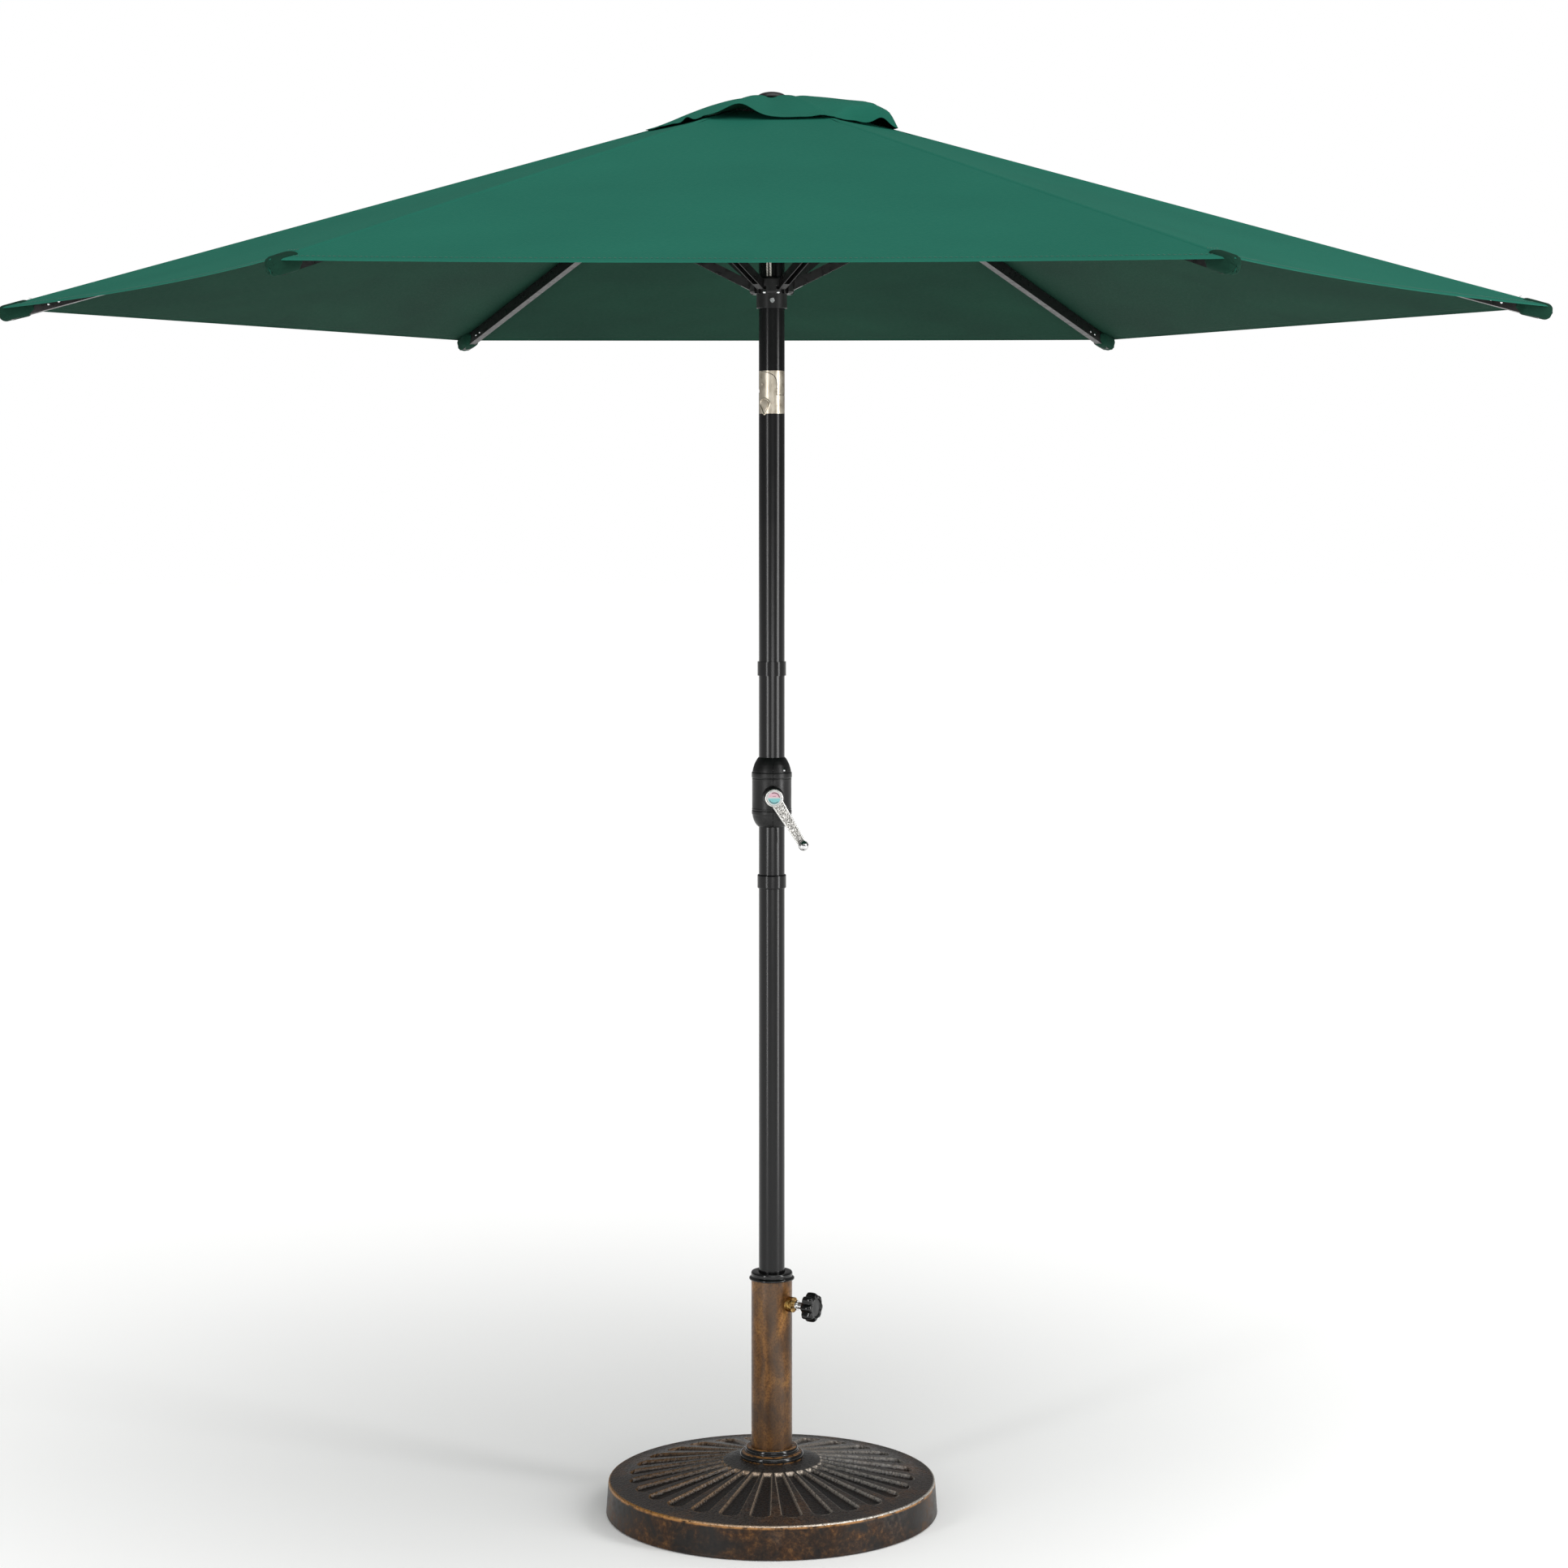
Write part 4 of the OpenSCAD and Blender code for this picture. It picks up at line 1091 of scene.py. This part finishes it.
def cast_handle():
    """Die-cast crank handle: a bright rim round a hammered recess, running out of a round hub."""
    origin, across, up, out = around(CRANK_AZIMUTH, CRANK_Z, 0)
    slope = math.radians(-58.5)
    along = across * math.cos(slope) + up * math.sin(slope)
    wide = -across * math.sin(slope) + up * math.cos(slope)
    length, thick, back = 81 * MM, 7 * MM, 46.5 * MM
    rows, cols = 90, 37
    points, hammered = [], []
    for i in range(rows):
        x = 6 * MM + (length - 2 * MM) * i / (rows - 1)
        half = (9.5 - 3.5 * x / length) * MM
        end = max(0.0, (x - length + 2.5 * MM) / (6.5 * MM))
        half *= math.sqrt(max(0.02, 1 - end * end))
        for j in range(cols):
            a = -1 + 2 * j / (cols - 1)
            from_side = half * (1 - abs(a))
            from_end = length + 3 * MM - x
            inside = float(smooth_step(min(from_side, from_end), 1.6 * MM, 2.5 * MM))
            round_off = 0.9 * MM * (1 - float(smooth_step(from_side, 0, 1.2 * MM)))
            dimple = 0.35 * MM * math.sin(x / MM * 2.1 + 1.7 * a * 5)
            dimple *= math.cos(a * 9 + x / MM * 0.9) * inside
            height = back + thick - 1.5 * MM * inside - round_off + dimple
            points.append(origin + along * x + wide * a * half + out * height)
            hammered.append(inside)
    faces = strip_faces(rows, cols)
    top = piece("cast_handle_face", points, faces, NICKEL_BRIGHT, "crank")
    point_values(top, "hammered", hammered)
    side_points = []
    for i in range(rows):
        for j in (0, cols - 1):
            p = points[i * cols + j]
            side_points += [p, p - out * (thick - 1.2 * MM)]
    side_faces = []
    for i in range(rows - 1):
        a = 4 * i
        side_faces += [(a, a + 1, a + 5, a + 4), (a + 3, a + 2, a + 6, a + 7), (a + 1, a + 3, a + 7, a + 5)]
    last = 4 * (rows - 1)
    side_faces.append((last, last + 1, last + 3, last + 2))
    under = piece("cast_handle_sides", side_points, side_faces, NICKEL_BRIGHT, "crank")
    point_values(under, "hammered", [0.0] * len(side_points))
    hub = turned("crank_hub",
                 [(2, 45.6), (12.4, 45.6), (13.4, 46.6), (13.4, 53.2), (12.6, 54.2), (11.6, 54.3),
                  (11.2, 53.8), (2, 53.8)],
                 NICKEL_BRIGHT, "crank", ("crank_handle",),
                 at=(origin, across, up, out), radius=0.5 * MM)
    point_values(hub, "hammered", [0.0] * len(hub.data.vertices))
    end = origin + along * length
    arc = [math.radians(a) for a in range(25, 180, 8)]
    ball = [(7.5 * math.sin(a), 61.2 - 7.5 * math.cos(a)) for a in arc]
    turned("crank_ball_grip", [(0.1, 53.0), (3.2, 53.0), (3.2, 55.4)] + ball + [(0.1, 68.7)], CHROME, "crank",
           ("crank_ball",), segments=48, at=(end, across, up, out), radius=0.1 * MM)


def round_label():
    """The printed disc in the crank's hub, with an arc round each half."""
    origin, across, up, out = around(CRANK_AZIMUTH, CRANK_Z, 54.35 * MM)
    radii = np.concatenate([[0.1], np.linspace(1, 11.1, 34)]) * MM
    segments = 144
    points, upper, lower, rose, teal = [], [], [], [], []
    for r in radii:
        for a in round_angles(segments):
            x, y = r * math.cos(a), r * math.sin(a)
            points.append(origin + across * x + up * y + out * 0.2 * MM)
            ring = float(smooth_step(r, 6.6 * MM, 7.1 * MM) * (1 - smooth_step(r, 8.0 * MM, 8.5 * MM)))
            degrees = math.degrees(a)
            upper.append(ring * float(smooth_step(degrees, 2, 8) * (1 - smooth_step(degrees, 112, 120))))
            lower.append(ring * float(smooth_step(degrees, 200, 208) * (1 - smooth_step(degrees, 312, 320))))
            mark = float(abs(y - 2.4 * MM) < 0.7 * MM and abs(x) < 2.4 * MM and math.sin(x / MM * 5) > -0.4)
            upper[-1] = max(upper[-1], 0.8 * mark)
            disc = 1 - float(smooth_step(r, 8.6 * MM, 9.4 * MM))
            rose.append(disc * float(smooth_step(y, 0.0, 2.0 * MM)))
            teal.append(disc * float(1 - smooth_step(y, -1.6 * MM, 0.6 * MM)))
    faces = strip_faces(len(radii), segments, closed=True)
    obj = piece("round_crank_label", points, faces, LABEL, "crank", ("crank_label",))
    for name, values in (("upper_arc", upper), ("lower_arc", lower), ("rose", rose), ("teal", teal)):
        point_values(obj, name, values)


def button_surround():
    """A raised teardrop cast round the tilt button."""
    path = []
    for a in round_angles(48):
        below = max(0.0, -math.sin(a))
        across = 8.2 * math.cos(a) * (1 - 0.35 * below ** 2)
        high = 8.2 * math.sin(a) * (1 + 0.9 * below ** 3)
        turn = math.radians(BUTTON_AZIMUTH) + across / (POLE_R / MM)
        path.append(spoke(turn) * (POLE_R + 0.1 * MM) + upward((BUTTON_HEIGHT + high) * MM))
    swept("button_surround", path + path[:2], circle_section(1.0 * MM, 8), NICKEL, "mast_lower",
          up=tuple(spoke(math.radians(BUTTON_AZIMUTH))))


def rivet(name, place, out, r, body):
    """A domed rivet head facing along out."""
    out = np.array(out) / np.linalg.norm(out)
    across = np.cross((0.03, 0.02, 1.0), out)
    across /= np.linalg.norm(across)
    up = np.cross(out, across)
    m = r / MM
    turned(name, [(m, -0.4), (m, 0.05), (m * 0.85, m * 0.32), (m * 0.5, m * 0.5), (0.05, m * 0.56)],
           ZINC, body, segments=20, at=(place, across, up, out), radius=0.2 * MM)


def rib_rivets(k):
    """Two rivets on each side of a rib near its tip, and one on each side of its strut clip."""
    out_dir, side_dir, up_dir = rib_directions(k)
    for n, side in enumerate((-1, 1)):
        for m, along in enumerate((1058 * MM, 1074 * MM)):
            place = hub_at(k) + out_dir * along + side_dir * side * 6 * MM - up_dir * 1.5 * MM
            rivet(f"rib_rivet_{k}_{n}_{m}", place, side_dir * side, 2.3 * MM, f"rib_{k}")
        place = hub_at(k) + out_dir * 326 * MM - up_dir * 16 * MM + side_dir * side * 8.3 * MM
        rivet(f"clip_rivet_{k}_{n}", place, side_dir * side, 3.0 * MM, f"rib_{k}")


def outer_cord():
    """Two strands of the lift cord down the outside of the mast to the runner, leaning as they go up."""
    low, high = 1815 * MM, 2004 * MM
    strands = (((-1.6, -25.2), (-6.2, -22.8), 1.5), ((-6.4, -24.4), (-10.4, -21.6), 1.2))
    for n, (foot, head, r) in enumerate(strands):
        path = []
        for i in range(26):
            s = i / 25
            x, y = ((a + (b - a) * s) * MM for a, b in zip(foot, head))
            path.append((x, y, low + (high - low) * s))
        obj = swept(f"lift_cord_strand_{n + 1}", path, circle_section(r * MM, 10), CORD, None,
                    ("lift_cord_upper",) if n == 0 else (), up=(0, 1, 0), ride=False)
        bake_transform(obj)


def housing_half(side, name, node):
    """Half of the moulded crank housing: round shoulders, two raised bands and a fine parting line."""
    shoulder = [(19.1, 1109.0), (20.6, 1107.6), (23.2, 1103.6), (25.6, 1098.6), (27.4, 1093.0),
                (28.4, 1088.6)]
    bands = [(28.5, 1087.2), (29.6, 1086.4), (29.7, 1079.6), (28.6, 1078.6), (29.2, 1077.2), (28.9, 1075.8),
             (28.9, 1034.0), (29.3, 1032.6), (28.7, 1031.4), (29.4, 1030.0), (29.3, 1025.6), (28.5, 1024.6)]
    chin = [(28.0, 1021.0), (26.6, 1016.4), (24.2, 1011.6), (21.6, 1008.2), (19.1, 1006.6)]
    outline = round_corners([(r * MM, z * MM) for r, z in shoulder + bands + chin], 1.0 * MM, 3)
    segments = 64
    points = []
    for r, z in outline:
        for j in range(segments):
            a = math.radians(CRANK_AZIMUTH + side * (0.55 + 178.9 * j / (segments - 1)))
            points.append((r * math.cos(a), r * math.sin(a), z))
    faces = strip_faces(len(outline), segments)
    if side > 0:
        faces = [f[::-1] for f in faces]
    obj = piece(name, points, faces, NYLON, "mast_lower", (node,))
    sharpen(obj, 50)


def housing_boss():
    """The round boss that the crank turns in, and the dark recess of a closing screw."""
    turned("crank_boss", [(15.6, 20), (15.4, 40), (14.75, 44.2), (13.8, 45.0), (3, 45.0)], NYLON,
           "mast_lower", at=around(CRANK_AZIMUTH, CRANK_Z, 0), radius=0.8 * MM)
    turned("screw_recess", [(4.4, -3), (4.2, 0.6), (3.4, 0.9), (2.9, -0.4), (0.1, -0.5)], NYLON, "mast_lower",
           segments=32, at=around(-42, 1090 * MM, 27.4 * MM), radius=0.3 * MM)


def tilt_gap_shadow():
    """A thin dark strip of painted shadow along the parting line of the tilt joint, down the front and the
    back of the casting.
    """
    edge = [(-15, 1676.2), (-8.8, 1675.2), (-4, 1673.7), (0, 1671.7), (4, 1668.7), (6.4, 1664.5),
            (7.3, 1657), (7.4, 1641.3), (12, 1641.2), (17.5, 1641.2)]
    for n, face in enumerate((-1, 1)):
        path = [(x * MM, face * math.sqrt((19.05 * MM) ** 2 - (x * MM) ** 2), z * MM) for x, z in edge]
        swept(f"tilt_gap_shadow_{n + 1}", path, circle_section(0.55 * MM, 6), SEAM, "mast_lower",
              up=(0, 1, 0))


housing_half(-1, "crank_housing_shell_left", "crank_housing_left")
housing_half(1, "crank_housing_shell_right", "crank_housing_right")
housing_boss()
tilt_gap_shadow()
lobed_knob()
cast_handle()
round_label()
button_surround()
for k in RIBS:
    rib_rivets(k)
for side in (-1, 1):
    a = math.radians(-91.2 + side * 17.5)
    place = spoke(a) * 33.8 * MM + upward(1791.5 * MM)
    rivet(f"runner_rivet_{(side + 3) // 2}", place, spoke(a), 2.4 * MM, "runner")
outer_cord()
